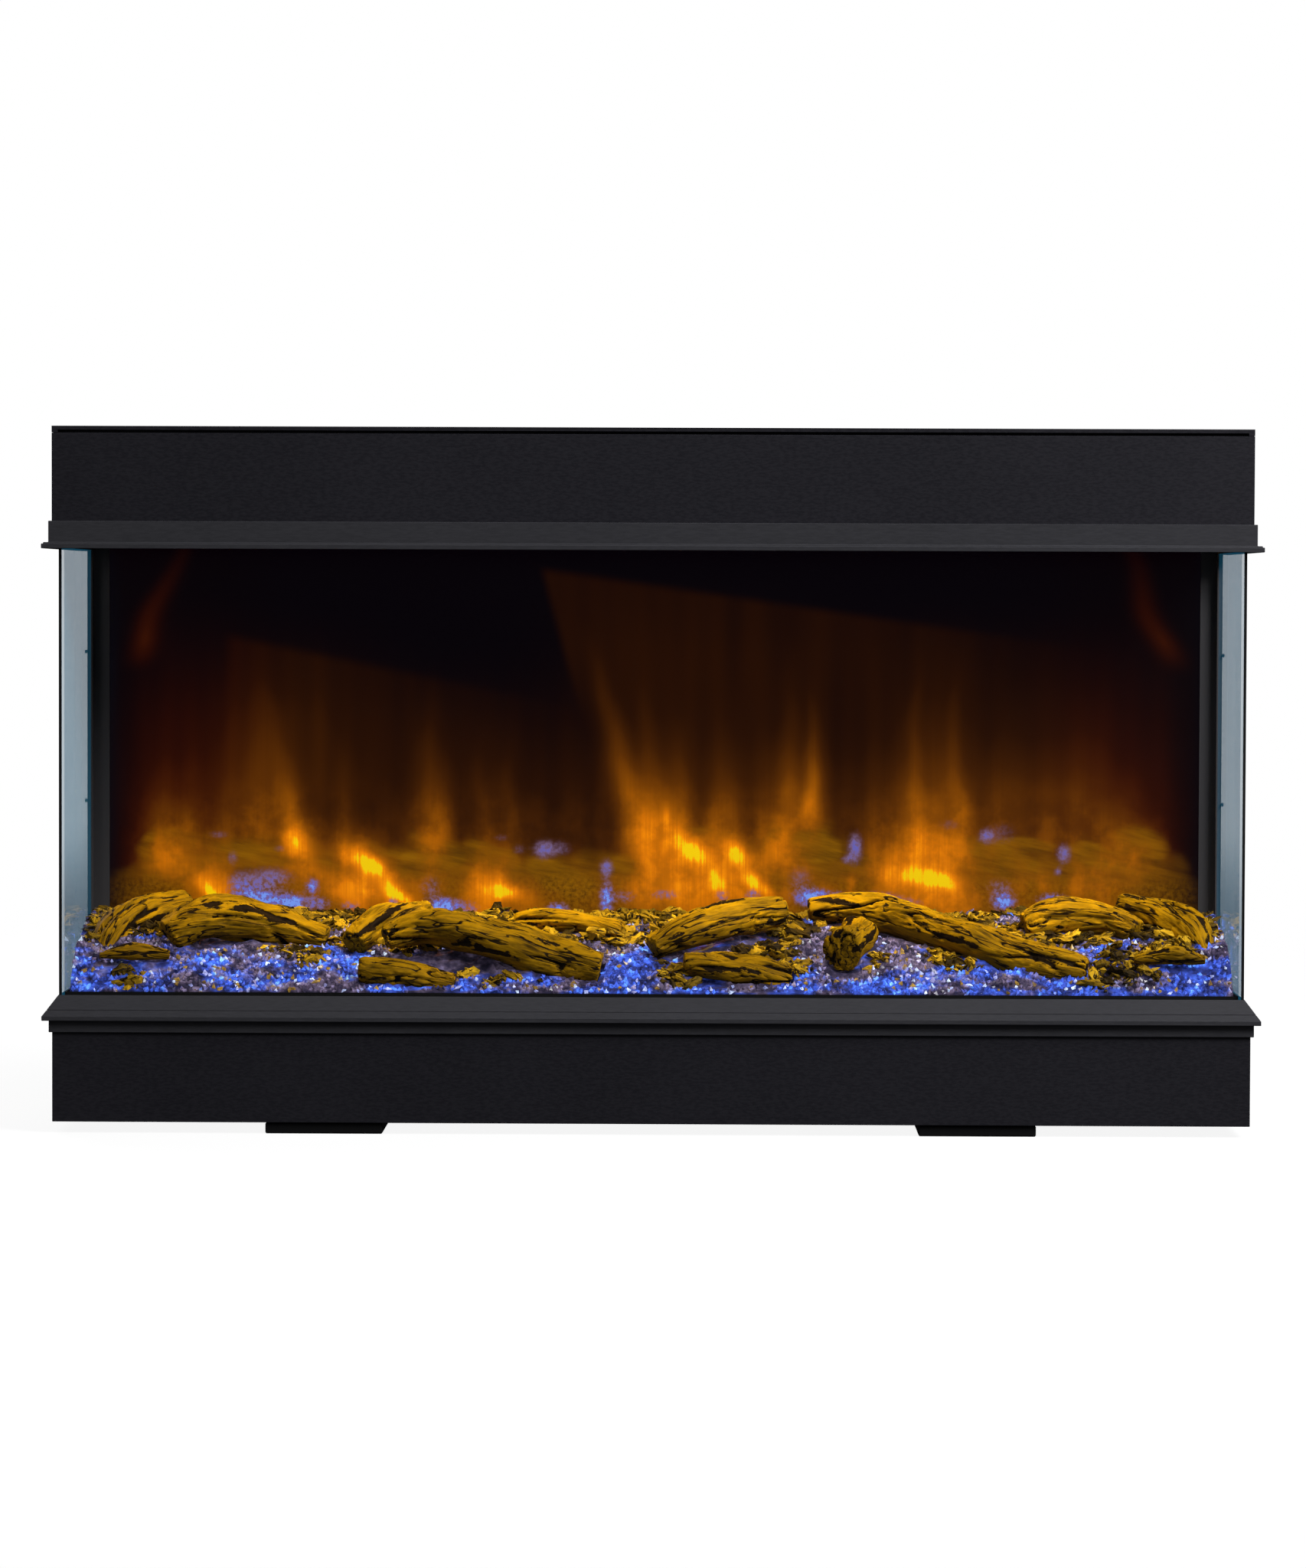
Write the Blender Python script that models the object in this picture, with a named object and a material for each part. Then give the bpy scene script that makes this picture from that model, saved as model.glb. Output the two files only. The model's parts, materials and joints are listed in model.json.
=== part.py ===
"""Three-sided built-in electric fire, modelled as its separate pieces.

Lengths are in metres and +Z is up. Every piece is placed from one datum: the middle of the
casing's front bottom edge, with y running back from the casing's front face and z running up
from the casing's underside.
"""

import math

import bmesh
import bpy
from mathutils import Matrix, Vector

# Casing
CASING_WIDTH = 1.000
CASING_DEPTH = 0.275
SHEET = 0.0012
GAP = 0.0003
OVERRUN = 0.002
SCREEN_BAY_DEPTH = 0.070
PAN_UPSTAND = 0.015
FLANGE = 0.020
FOLD_BEVEL = 0.0004

# Feet
FOOT_HEIGHT = 0.0095
FOOT_WIDTH = 0.098
FOOT_INSET = 0.178
FOOT_SETBACK = 0.003
FOOT_GROOVES = 5
FOOT_GROOVE_WIDTH = 0.004
FOOT_GROOVE_DEPTH = 0.003
FOOT_EDGE = 0.001

# Lower trim, from the casing's underside up
LOWER_BAND_LEVEL = 0.075
LOWER_BAND_HEIGHT = 0.010
LOWER_LIP_HEIGHT = 0.0035
SILL_RISE = 0.0175
SILL_SKIN = 0.0025
SILL_GROOVE_SHARE = 0.29
SILL_GROOVE_WIDTH = 0.0012
SILL_GROOVE_DEPTH = 0.0007
LOWER_WALL_RISE = 0.0035

# Upper trim
APERTURE_HEIGHT = 0.3725
UPPER_LIP_HEIGHT = 0.004
UPPER_BAND_HEIGHT = 0.019
LIP_STEP_HEIGHT = 0.0012
LIP_STEP_DEPTH = 0.0016
UPPER_WALL_OVERLAP = 0.0175
BAND_REACH = 0.0026
LIP_REACH = 0.0080

# Glass and its channels
GLASS = 0.004
GLASS_SETBACK = 0.0052
GLASS_ENGAGEMENT = 0.0065
GLASS_LIFT = 0.0125
LIFT_HEADROOM = 0.0008
CORNER_SEAL = 0.0019
CHANNEL_CREST = 0.0022
CHANNEL_OUTER_LEG = 0.007
UPPER_LEG_RECESS = 0.0005
UPPER_OUTER_RECESS = 0.001

# Rear pillars and flame screen
PILLAR_WIDTH = 0.0194
PILLAR_STOP = 0.009
SCREEN = 0.003
SCREEN_MARGIN = 0.007

# Top cover
COVER_HEM = 0.0032
COVER_SHADOW = 0.0025
COVER_DOWNSTAND_INSET = 0.005
COVER_CORNER_RETURN = 0.005
COVER_SLOTS = 16
COVER_SLOT_WIDTH = 0.006
COVER_SLOT_LENGTH = 0.070
COVER_SLOT_PITCH = 0.018
COVER_SLOT_REAR = 0.030

# Back panel
WALL_RIB_DEPTH = 0.003
WALL_RIB_WIDTH = 0.036
WALL_RIB_SLOPE = 0.005
WALL_RIB_INSET = 0.200
KEYHOLE_RADIUS = 0.005
KEYHOLE_SLOT_RADIUS = 0.0025
KEYHOLE_RISE = 0.012
KEYHOLE_DROP = 0.1405
BACK_SLOTS = 12
BACK_SLOT_WIDTH = 0.006
BACK_SLOT_HEIGHT = 0.045
BACK_SLOT_PITCH = 0.016
BACK_SLOT_LEVEL = 0.040

# Base pan
PAN_SLOTS = 10
PAN_SLOT_WIDTH = 0.006
PAN_SLOT_LENGTH = 0.050
PAN_SLOT_PITCH = 0.016
PAN_SLOT_OFFSET = 0.080

# Flame drive behind the screen
SPINDLE_INSET = 0.032
SPINDLE_RISE = 0.046
SPINDLE_ROD_RADIUS = 0.003
SPINDLE_END = 0.017
SPINDLE_BLADES = 22
BLADE_REACH = 0.018
BLADE_WIDTH = 0.016
BLADE_SHEET = 0.0008
BLADE_TWIST_DEG = 67.0
BLADE_BEND_SHARES = ((1.00, 0.34), (0.50, 0.30), (0.00, 0.00))
SHAFT_CLEARANCE = 0.0003
TROUGH_END = 0.0188
TROUGH_DROP = 0.008
TROUGH_CLEARANCE = 0.0035
TROUGH_FRONT_RISE = 0.012
TROUGH_REAR_RISE = 0.030
MOTOR_RADIUS = 0.024
MOTOR_LENGTH = 0.018
MOTOR_BOSS_RADIUS = 0.007
MOTOR_BOSS_LENGTH = 0.006
MOTOR_FOOT_WIDTH = 0.030
BRACKET_WIDTH = 0.034
BRACKET_FOOT = 0.016
BRACKET_RISE = 0.013
BUSH_RADIUS = 0.0065
BUSH_LENGTH = 0.008
MASK_SETBACK = 0.006
MASK_SHEET = 0.001
MASK_HEIGHT = 0.150
MASK_FLAMES = 11
MASK_END = 0.076
MASK_FLAME_WIDTH = 0.034
MASK_FLAME_HEIGHT = 0.118
MASK_FLAME_BASE = 0.014
FLAME_SHARES = ((-0.50, 0.00), (-0.46, 0.22), (-0.20, 0.52), (-0.04, 1.00), (0.14, 0.66),
                (0.42, 0.40), (0.50, 0.16), (0.44, 0.00))

# Light boards
BOARD = 0.0016
LED_WIDTH = 0.005
LED_HEIGHT = 0.002
FLAME_BOARD_END = 0.025
FLAME_BOARD_WIDTH = 0.016
FLAME_LEDS = 22
EMBER_BOARD_END = 0.0358
EMBER_BOARD_PARTING = 0.015
EMBER_BOARD_WIDTH = 0.060
EMBER_BOARD_DROP = 0.026
EMBER_LEDS = 10
RAIL_WIDTH = 0.030
RAIL_FOOT = 0.012
CEILING_BOARD_END = 0.0708
CEILING_BOARD_WIDTH = 0.014
CEILING_BOARD_SETBACK = 0.034
CEILING_LEDS = 14

# Fuel bed
TRAY_WALL = 0.002
TRAY_HEIGHT = 0.0127
BED_FRONT_HEIGHT = 0.0030
BED_RISE = 0.054
BED_END_RISE = 0.012
BED_RIPPLE = 0.0022
BED_COLUMNS = 38
BED_ROWS = 8
BED_END_SHARE = 0.38
BED_SETTLE_SHARE = 0.125
BED_END_SETTLE_SHARE = 0.2
# Each row is how often a ripple repeats along the bed and back over it, and its phase.
BED_RIPPLE_SHARES = ((31, 9, 0.0), (53, -17, 1.3))
BED_PROFILE_SHARES = ((0.00, 0.00), (0.09, 0.17), (0.25, 0.48), (0.45, 0.74), (0.70, 0.93),
                      (1.00, 1.00))
LOG_PILE_HEIGHT = 0.090
LOG_RADIUS = 0.020
LOG_SIDES = 9
# Each row is how many lobes a log's section has, how deep they are, how they turn from one ring
# to the next, and how they shift from one log to the next.
LOG_KNOT_SHARES = ((2, 0.13, 0.7, 1), (3, 0.07, 1.9, -2))
LOG_RINGS_PER_SPAN = 3
# Each row is x, y and height as shares of half the chamber's width, its depth and the pile's
# height over the sill, and then the radius as a share of the fattest log's.
LOG_SHARES = {
    "log_left_end": ((-0.950, 0.33, 0.26, 0.55), (-0.925, 0.53, 0.62, 0.90),
                     (-0.815, 0.74, 0.74, 0.70)),
    "log_left_long": ((-0.838, 0.37, 0.49, 0.90), (-0.765, 0.42, 0.68, 1.00),
                      (-0.650, 0.45, 0.57, 0.88), (-0.565, 0.46, 0.44, 0.70)),
    "log_left_twig": ((-0.950, 0.19, 0.34, 0.22), (-0.890, 0.20, 0.38, 0.40),
                      (-0.828, 0.22, 0.34, 0.20)),
    "log_left_branch": ((-0.514, 0.32, 0.43, 0.60), (-0.479, 0.47, 0.62, 0.75),
                        (-0.394, 0.62, 0.72, 0.55)),
    "log_centre_long": ((-0.460, 0.24, 0.50, 0.55), (-0.385, 0.28, 0.61, 0.82),
                        (-0.272, 0.27, 0.50, 1.00), (-0.166, 0.23, 0.33, 0.95),
                        (-0.084, 0.20, 0.22, 0.80)),
    "log_centre_back": ((-0.245, 0.61, 0.60, 0.45), (-0.143, 0.58, 0.62, 0.60),
                        (-0.051, 0.53, 0.54, 0.42)),
    "log_centre_branch": ((0.000, 0.30, 0.40, 0.60), (0.070, 0.37, 0.58, 0.80),
                          (0.152, 0.46, 0.68, 0.85), (0.232, 0.53, 0.73, 0.60)),
    "log_stump": ((0.364, 0.45, 0.58, 0.80), (0.345, 0.32, 0.48, 0.90),
                  (0.328, 0.20, 0.41, 1.00)),
    "log_right_long": ((0.272, 0.65, 0.73, 0.58), (0.371, 0.64, 0.75, 0.78),
                       (0.481, 0.48, 0.57, 0.90), (0.584, 0.34, 0.43, 0.95),
                       (0.682, 0.25, 0.28, 0.88), (0.748, 0.22, 0.20, 0.65)),
    "log_right_hollow": ((0.648, 0.55, 0.59, 0.70), (0.713, 0.57, 0.69, 0.88),
                         (0.795, 0.54, 0.65, 0.78), (0.840, 0.47, 0.55, 0.55)),
    "log_right_twig": ((0.828, 0.22, 0.34, 0.20), (0.890, 0.20, 0.38, 0.40),
                       (0.950, 0.19, 0.34, 0.22)),
    "log_right_end": ((0.950, 0.33, 0.26, 0.55), (0.925, 0.53, 0.62, 0.90),
                      (0.825, 0.76, 0.75, 0.72)),
    "log_front_left": ((-0.500, 0.160, 0.21, 0.55), (-0.420, 0.155, 0.17, 0.72),
                       (-0.335, 0.140, 0.11, 0.45)),
    "log_front_right": ((0.055, 0.190, 0.28, 0.55), (0.150, 0.180, 0.24, 0.75),
                        (0.245, 0.160, 0.15, 0.50)),
}

# Heater over the chamber
OUTLET_HALF = 0.290
OUTLET_REAR = 0.0050
WHEEL_INSET = 0.125
WHEEL_RADIUS = 0.024
WHEEL_INNER_RADIUS = 0.018
WHEEL_HALF = 0.148
WHEEL_BLADES = 18
WHEEL_DISC = 0.0016
WHEEL_BLADE_SHEET = 0.0007
WHEEL_BLADE_LEAD_DEG = 26.0
WHEEL_BLADE_BOW_SHARE = 0.28
STUB_RADIUS = 0.003
STUB_LENGTH = 0.014
HOUSING_SIDE_CLEARANCE = 0.003
HOUSING_FRONT_CLEARANCE = 0.014
HOUSING_REAR_CLEARANCE = 0.016
HOUSING_CROWN = 0.0055
HOUSING_HEADROOM = 0.0105
SCROLL_FLOOR_CLEARANCE = 0.014
SCROLL_START_DEG = 40.0
SCROLL_START_CLEARANCE = 0.004
SCROLL_STEPS = 12
TONGUE_SETDOWN = 0.004
TONGUE_LENGTH = 0.014
TONGUE_DROP = 0.006
TONGUE_TIP = 0.006
STACK_WIDTH = 0.044
STACK_LENGTH = 0.016
COIL_RADIUS = 0.0075
COIL_LENGTH = 0.030
STACK_WINDOW = 0.010
DUCT_THROAT_LENGTH = 0.032
DUCT_MOUTH_HEIGHT = 0.0147
DUCT_FLOOR_FRONT = 0.0065
HEATER_DEPTH = 0.020
HEATER_SETBACK = 0.005
HEATER_RAIL = 0.006
HEATER_FOLDS = 30
HEATER_FIN_SHEET = 0.0006
CUTOUT_RADIUS = 0.009
CUTOUT_HEIGHT = 0.005
CUTOUT_CAP_RADIUS = 0.006
CUTOUT_CAP_HEIGHT = 0.0025
CUTOUT_X = 0.060
CUTOUT_SETBACK = 0.016

# Electronics
CONTROL_BOARD_SIZE = (0.120, 0.090)
CONTROL_BOARD_SPACING = 0.0778
CONTROL_BOARD_INSET = 0.095
STANDOFF_WIDTH = 0.006
STANDOFF_HEIGHT = 0.006
STANDOFF_INSET = 0.008
RELAY_SIZE = (0.020, 0.016, 0.016)
TRANSFORMER_SIZE = (0.034, 0.028, 0.024)
HEADER_SIZE = (0.050, 0.008, 0.011)
SUPPLY_SIZE = (0.150, 0.060, 0.030)
SUPPLY_OFFSET = 0.100
SUPPLY_INSET = 0.065
SUPPLY_FINS = 9
SUPPLY_FIN_WIDTH = 0.004
SUPPLY_FIN_DEPTH = 0.004
TERMINAL_SIZE = (0.040, 0.020, 0.016)
TERMINAL_SPACING = 0.060
TERMINAL_INSET = 0.039
TERMINAL_WAYS = 4
TERMINAL_WELL = 0.006
GROMMET_INSET = 0.100
GROMMET_LEVEL = 0.030
GROMMET_RADIUS = 0.009
GROMMET_FLANGE_RADIUS = 0.012
GROMMET_FLANGE = 0.0015
GROMMET_BORE_RADIUS = 0.0045

# Rocker switch in the right side of the upper casing
SWITCH_INSET = 0.125
SWITCH_DROP = 0.0298
SWITCH_BODY_DEPTH = 0.014
SWITCH_BODY_SIZE = (0.0130, 0.0220)
SWITCH_BEZEL_SIZE = (0.0160, 0.0260)
SWITCH_BEZEL = 0.0015
SWITCH_WALL = 0.0012
SWITCH_POCKET_DEPTH = 0.0075
ROCKER_TILT_DEG = 10.0
ROCKER_PIVOT_DEPTH = 0.0015
ROCKER_RISE_SHARE = 0.26
ROCKER_DROP_SHARE = 0.34
ROCKER_END_CLEARANCE = 0.0009

# Levels and planes that more than one piece shares
HALF_WIDTH = CASING_WIDTH / 2
REAR_FACE = CASING_DEPTH
PANEL_REAR = CASING_DEPTH - WALL_RIB_DEPTH
PANEL_FRONT = PANEL_REAR - SHEET
SHELL_REAR = PANEL_FRONT - GAP
LIP_LEVEL = LOWER_BAND_LEVEL + LOWER_BAND_HEIGHT
SILL_FOOT = LIP_LEVEL + LOWER_LIP_HEIGHT
SILL_TOP = SILL_FOOT + SILL_RISE
LOWER_WALL_TOP = SILL_FOOT + LOWER_WALL_RISE
HEAD_LEVEL = SILL_TOP + APERTURE_HEIGHT
HEAD_LIP_TOP = HEAD_LEVEL + UPPER_LIP_HEIGHT
HEAD_BAND_TOP = HEAD_LIP_TOP + UPPER_BAND_HEIGHT
UPPER_WALL_BASE = HEAD_BAND_TOP - UPPER_WALL_OVERLAP
CHANNEL_FLOOR = LOWER_WALL_TOP + GAP
PANE_BASE = CHANNEL_FLOOR + SHEET + GAP
PANE_TOP = HEAD_LEVEL + GLASS_ENGAGEMENT
WEB_LEVEL = PANE_TOP + GLASS_LIFT + LIFT_HEADROOM
CEILING_LEVEL = WEB_LEVEL + SHEET + GAP
UPPER_FLOOR = CEILING_LEVEL + SHEET + GAP
SCROLL_FLOOR_REACH = WHEEL_RADIUS + SCROLL_FLOOR_CLEARANCE
WHEEL_LEVEL = UPPER_FLOOR + SHEET + SCROLL_FLOOR_REACH
HOUSING_TOP = WHEEL_LEVEL + WHEEL_RADIUS + HOUSING_CROWN
TONGUE_LEVEL = HOUSING_TOP - TONGUE_SETDOWN
CASING_HEIGHT = HOUSING_TOP + HOUSING_HEADROOM
UPPER_WALL_TOP = CASING_HEIGHT - COVER_HEM - COVER_SHADOW
PAN_FLOOR = SHEET + GAP
TROUGH_LEVEL = LOWER_WALL_TOP - TROUGH_DROP
TROUGH_FLOOR = TROUGH_LEVEL + SHEET + GAP
SPINDLE_LEVEL = TROUGH_LEVEL + SPINDLE_RISE
EMBER_BOARD_LEVEL = LOWER_WALL_TOP - EMBER_BOARD_DROP
SWITCH_LEVEL = UPPER_WALL_TOP - SWITCH_DROP

PANE_FACE = GLASS_SETBACK
PANE_INNER = GLASS_SETBACK + GLASS
LEG_INNER = PANE_INNER + GAP
CHANNEL_INNER = LEG_INNER + SHEET
PILLAR_FRONT = CASING_DEPTH - SCREEN_BAY_DEPTH
PANE_REAR = PILLAR_FRONT - GAP
SCREEN_FRONT = PILLAR_FRONT + SHEET + GAP
TROUGH_FRONT = SCREEN_FRONT + SCREEN + TROUGH_CLEARANCE
SPINDLE_Y = CASING_DEPTH - SPINDLE_INSET
WHEEL_Y = CASING_DEPTH - WHEEL_INSET
HOUSING_FRONT = WHEEL_Y - WHEEL_RADIUS - HOUSING_FRONT_CLEARANCE
HOUSING_REAR = WHEEL_Y + WHEEL_RADIUS + HOUSING_REAR_CLEARANCE
SWITCH_Y = CASING_DEPTH - SWITCH_INSET

SIDE_PANE_FACE = HALF_WIDTH - GLASS_SETBACK
CHAMBER_HALF = HALF_WIDTH - PANE_INNER
TROUGH_HALF = CHAMBER_HALF - TROUGH_END
SPINDLE_HALF = TROUGH_HALF - SPINDLE_END
FLAME_BOARD_HALF = SPINDLE_HALF - FLAME_BOARD_END
HOUSING_HALF = WHEEL_HALF + HOUSING_SIDE_CLEARANCE + SHEET
GROMMET_X = HALF_WIDTH - GROMMET_INSET
WALL_RIB_OFFSET = HALF_WIDTH - WALL_RIB_INSET


def clear_scene():
    for item in list(bpy.data.objects):
        bpy.data.objects.remove(item, do_unlink=True)


def make_material(name, colour, roughness, metallic=0.0, alpha=1.0):
    material = bpy.data.materials.new(name)
    material.use_nodes = True
    shader = material.node_tree.nodes["Principled BSDF"]
    shader.inputs["Base Color"].default_value = (*colour, 1.0)
    shader.inputs["Roughness"].default_value = roughness
    shader.inputs["Metallic"].default_value = metallic
    shader.inputs["Alpha"].default_value = alpha
    material.diffuse_color = (*colour, alpha)
    return material


clear_scene()

BLACK_STEEL = make_material("black_powder_coat", (0.022, 0.022, 0.027), 0.55, 0.2)
TRIM_BLACK = make_material("trim_satin_black", (0.035, 0.036, 0.041), 0.42, 0.3)
INNER_BLACK = make_material("inner_matt_black", (0.012, 0.012, 0.013), 0.7)
ZINC = make_material("zinc_plated_steel", (0.55, 0.56, 0.56), 0.35, 0.9)
TOUGHENED_GLASS = make_material("toughened_glass", (0.70, 0.80, 0.84), 0.03, 0.0, 0.3)
FOOT_RUBBER = make_material("foot_rubber", (0.018, 0.018, 0.020), 0.75)
SEAL_RUBBER = make_material("seal_rubber", (0.015, 0.015, 0.016), 0.8)
SCREEN_ACRYLIC = make_material("screen_acrylic", (0.02, 0.012, 0.008), 0.12)
TRAY_ACRYLIC = make_material("tray_acrylic", (0.45, 0.50, 0.75), 0.3)
CRYSTAL = make_material("crystal_glass", (0.36, 0.42, 0.85), 0.1)
DRIFTWOOD = make_material("driftwood_resin", (0.42, 0.24, 0.03), 0.75)
REFLECTOR = make_material("reflector_aluminium", (0.78, 0.78, 0.79), 0.18, 1.0)
BOARD_GREEN = make_material("circuit_board", (0.02, 0.16, 0.07), 0.5)
BOARD_WHITE = make_material("light_board", (0.80, 0.80, 0.78), 0.5)
DARK_PLASTIC = make_material("dark_moulding", (0.03, 0.03, 0.032), 0.45)
MOTOR_STEEL = make_material("motor_lamination", (0.32, 0.33, 0.35), 0.4, 0.8)
HEATER_FIN = make_material("heater_fin", (0.62, 0.60, 0.56), 0.35, 0.9)
DRIVER_CASE = make_material("driver_case", (0.60, 0.61, 0.63), 0.35, 0.8)

DATUM = bpy.data.objects.new("casing_datum", None)
DATUM.location = (0, (LIP_REACH - CASING_DEPTH) / 2, FOOT_HEIGHT)
bpy.context.scene.collection.objects.link(DATUM)


def add_object(name, mesh, material, origin=(0, 0, 0)):
    """Places a mesh drawn about the given origin, from the casing datum."""
    piece = bpy.data.objects.new(name, mesh)
    piece.location = origin
    piece.parent = DATUM
    bpy.context.scene.collection.objects.link(piece)
    if material:
        mesh.materials.append(material)
    return piece


def mesh_of(name, points, faces):
    mesh = bpy.data.meshes.new(name)
    mesh.from_pydata([tuple(point) for point in points], [], faces)
    work = bmesh.new()
    work.from_mesh(mesh)
    bmesh.ops.recalc_face_normals(work, faces=work.faces)
    work.to_mesh(mesh)
    work.free()
    return mesh


def mesh_of_rings(name, groups, split=False):
    """One mesh of tubes with flat ends. Each group is a list of rings with as many points.

    Split gives every side face the same diagonal, so a fatter copy lies outside at every point.
    """
    points = []
    faces = []
    for rings in groups:
        start = len(points)
        count = len(rings[0])
        for ring in rings:
            points.extend(ring)
        for step in range(len(rings) - 1):
            for index in range(count):
                after = (index + 1) % count
                low = start + step * count
                corners = (low + index, low + after, low + count + after, low + count + index)
                if split:
                    faces += [corners[:3], (corners[2], corners[3], corners[0])]
                else:
                    faces.append(corners)
        faces.append(tuple(range(start, start + count)))
        last = start + (len(rings) - 1) * count
        faces.append(tuple(range(last, last + count)))
    return mesh_of(name, points, faces)


def placed(axis, along, first, second):
    """A point from its distance along an axis and its other two coordinates in x, y, z order."""
    if axis == "X":
        return (along, first, second)
    if axis == "Y":
        return (first, along, second)
    return (first, second, along)


def prism_rings(outline, axis, start, end):
    return [[placed(axis, along, a, b) for a, b in outline] for along in (start, end)]


def prism(name, outline, axis, start, end, material, origin=(0, 0, 0)):
    return add_object(name, mesh_of_rings(name, [prism_rings(outline, axis, start, end)]),
                      material, origin)


def box_rings(low, high):
    outline = ((low[0], low[1]), (high[0], low[1]), (high[0], high[1]), (low[0], high[1]))
    return prism_rings(outline, "Z", low[2], high[2])


def box(name, low, high, material):
    return add_object(name, mesh_of_rings(name, [box_rings(low, high)]), material)


def circle(radius, centre=(0, 0), sides=24):
    return [(centre[0] + radius * math.cos(math.tau * index / sides),
             centre[1] + radius * math.sin(math.tau * index / sides)) for index in range(sides)]


def turned_rings(profile, axis, centre, sides=24):
    """Rings of a turned shape. The profile lists (distance along the axis, radius)."""
    return [[placed(axis, along, a, b) for a, b in circle(radius, centre, sides)]
            for along, radius in profile]


def fold(path, thickness):
    """Closed outline of a sheet bent along a path, its thickness laid on the path's left."""
    points = [Vector(point) for point in path]
    lefts = []
    for before, after in zip(points, points[1:]):
        run = (after - before).normalized()
        lefts.append(Vector((-run.y, run.x)))
    inner = []
    for index, point in enumerate(points):
        first = lefts[max(index - 1, 0)]
        second = lefts[min(index, len(lefts) - 1)]
        inner.append(point + (first + second) * (thickness / (1 + first.dot(second))))
    return [tuple(point) for point in points + inner[::-1]]


def round_rings(outline, rear):
    """Rings of an outline of (reach past the casing, level) led round the front and both sides."""
    rings = []
    for side, turns in ((-1, False), (-1, True), (1, True), (1, False)):
        rings.append([(side * (HALF_WIDTH + reach), -reach if turns else rear, level)
                      for reach, level in outline])
    return rings


def led_round(name, outline, rear, material):
    return add_object(name, mesh_of_rings(name, [round_rings(outline, rear)]), material)


def combine(target, tool_mesh, operation):
    """Adds to a piece, or cuts from it, with a hidden helper object."""
    helper = add_object(f"{target.name}_{operation.lower()}_{len(target.modifiers)}", tool_mesh, None)
    helper.hide_render = True
    helper.display_type = "WIRE"
    change = target.modifiers.new(f"{operation.lower()}_{len(target.modifiers)}", "BOOLEAN")
    change.solver = "EXACT"
    change.operation = operation
    change.object = helper
    return helper


def cut(target, groups, split=False):
    return combine(target, mesh_of_rings(f"{target.name}_cutter", groups, split), "DIFFERENCE")


def join(target, groups):
    return combine(target, mesh_of_rings(f"{target.name}_addition", groups), "UNION")


def soften(target, width=FOLD_BEVEL, segments=1):
    bevel = target.modifiers.new("edge_bevel", "BEVEL")
    bevel.width = width
    bevel.segments = segments
    bevel.limit_method = "ANGLE"
    bevel.angle_limit = math.radians(50)


def smooth(piece):
    piece.data.shade_smooth()
    piece.data.set_sharp_from_angle(angle=math.radians(40))


def spread(count, pitch):
    return [(index - (count - 1) / 2) * pitch for index in range(count)]


def blend_shares(shares, place):
    """Reads a table of (place, value) shares at a place between them."""
    for (low, low_value), (high, high_value) in zip(shares, shares[1:]):
        if place <= high:
            return low_value + (high_value - low_value) * (place - low) / (high - low)
    return shares[-1][1]


def build_base_pan():
    half = HALF_WIDTH - SHEET - GAP
    pan = box("base_pan", (-half, SHEET + GAP, 0), (half, SHELL_REAR, SHEET), BLACK_STEEL)
    upstand = ((-SHEET - GAP, 0), (-SHEET - GAP, PAN_UPSTAND), (-2 * SHEET - GAP, PAN_UPSTAND),
               (-2 * SHEET - GAP, 0))
    join(pan, [round_rings(upstand, SHELL_REAR)])
    slots = []
    centre = CASING_DEPTH / 2
    for side in (-1, 1):
        for offset in spread(PAN_SLOTS, PAN_SLOT_PITCH):
            middle = side * PAN_SLOT_OFFSET + offset
            slots.append(box_rings(
                (middle - PAN_SLOT_WIDTH / 2, centre - PAN_SLOT_LENGTH / 2, -OVERRUN),
                (middle + PAN_SLOT_WIDTH / 2, centre + PAN_SLOT_LENGTH / 2, SHEET + OVERRUN)))
    cut(pan, slots)


def build_lower_casing():
    """Wrap-round wall with a flange turned in at its top, notched at the rear for the pillars."""
    path = ((0, 0), (0, LOWER_WALL_TOP), (-FLANGE, LOWER_WALL_TOP))
    casing = led_round("lower_casing", fold(path, SHEET), SHELL_REAR, BLACK_STEEL)
    notches = []
    for side in (-1, 1):
        inner = side * (HALF_WIDTH - FLANGE - OVERRUN)
        outer = side * (HALF_WIDTH - SHEET)
        notches.append(box_rings(
            (min(inner, outer), PANE_REAR, LOWER_WALL_TOP - SHEET - OVERRUN),
            (max(inner, outer), CASING_DEPTH, LOWER_WALL_TOP + OVERRUN)))
    cut(casing, notches)
    soften(casing)


def build_upper_casing():
    """Wrap-round wall, open behind the trim where warm air leaves, and holed for the switch."""
    path = ((0, UPPER_WALL_BASE), (0, UPPER_WALL_TOP), (-FLANGE, UPPER_WALL_TOP))
    casing = led_round("upper_casing", fold(path, SHEET), SHELL_REAR, BLACK_STEEL)
    window = box_rings((-OUTLET_HALF, -OVERRUN, UPPER_WALL_BASE - OVERRUN),
                       (OUTLET_HALF, SHEET + OVERRUN, WEB_LEVEL))
    half_y = SWITCH_BODY_SIZE[0] / 2 + GAP
    half_z = SWITCH_BODY_SIZE[1] / 2 + GAP
    switch_hole = box_rings(
        (HALF_WIDTH - SHEET - OVERRUN, SWITCH_Y - half_y, SWITCH_LEVEL - half_z),
        (HALF_WIDTH + OVERRUN, SWITCH_Y + half_y, SWITCH_LEVEL + half_z))
    cut(casing, [window, switch_hole])
    soften(casing)


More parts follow.
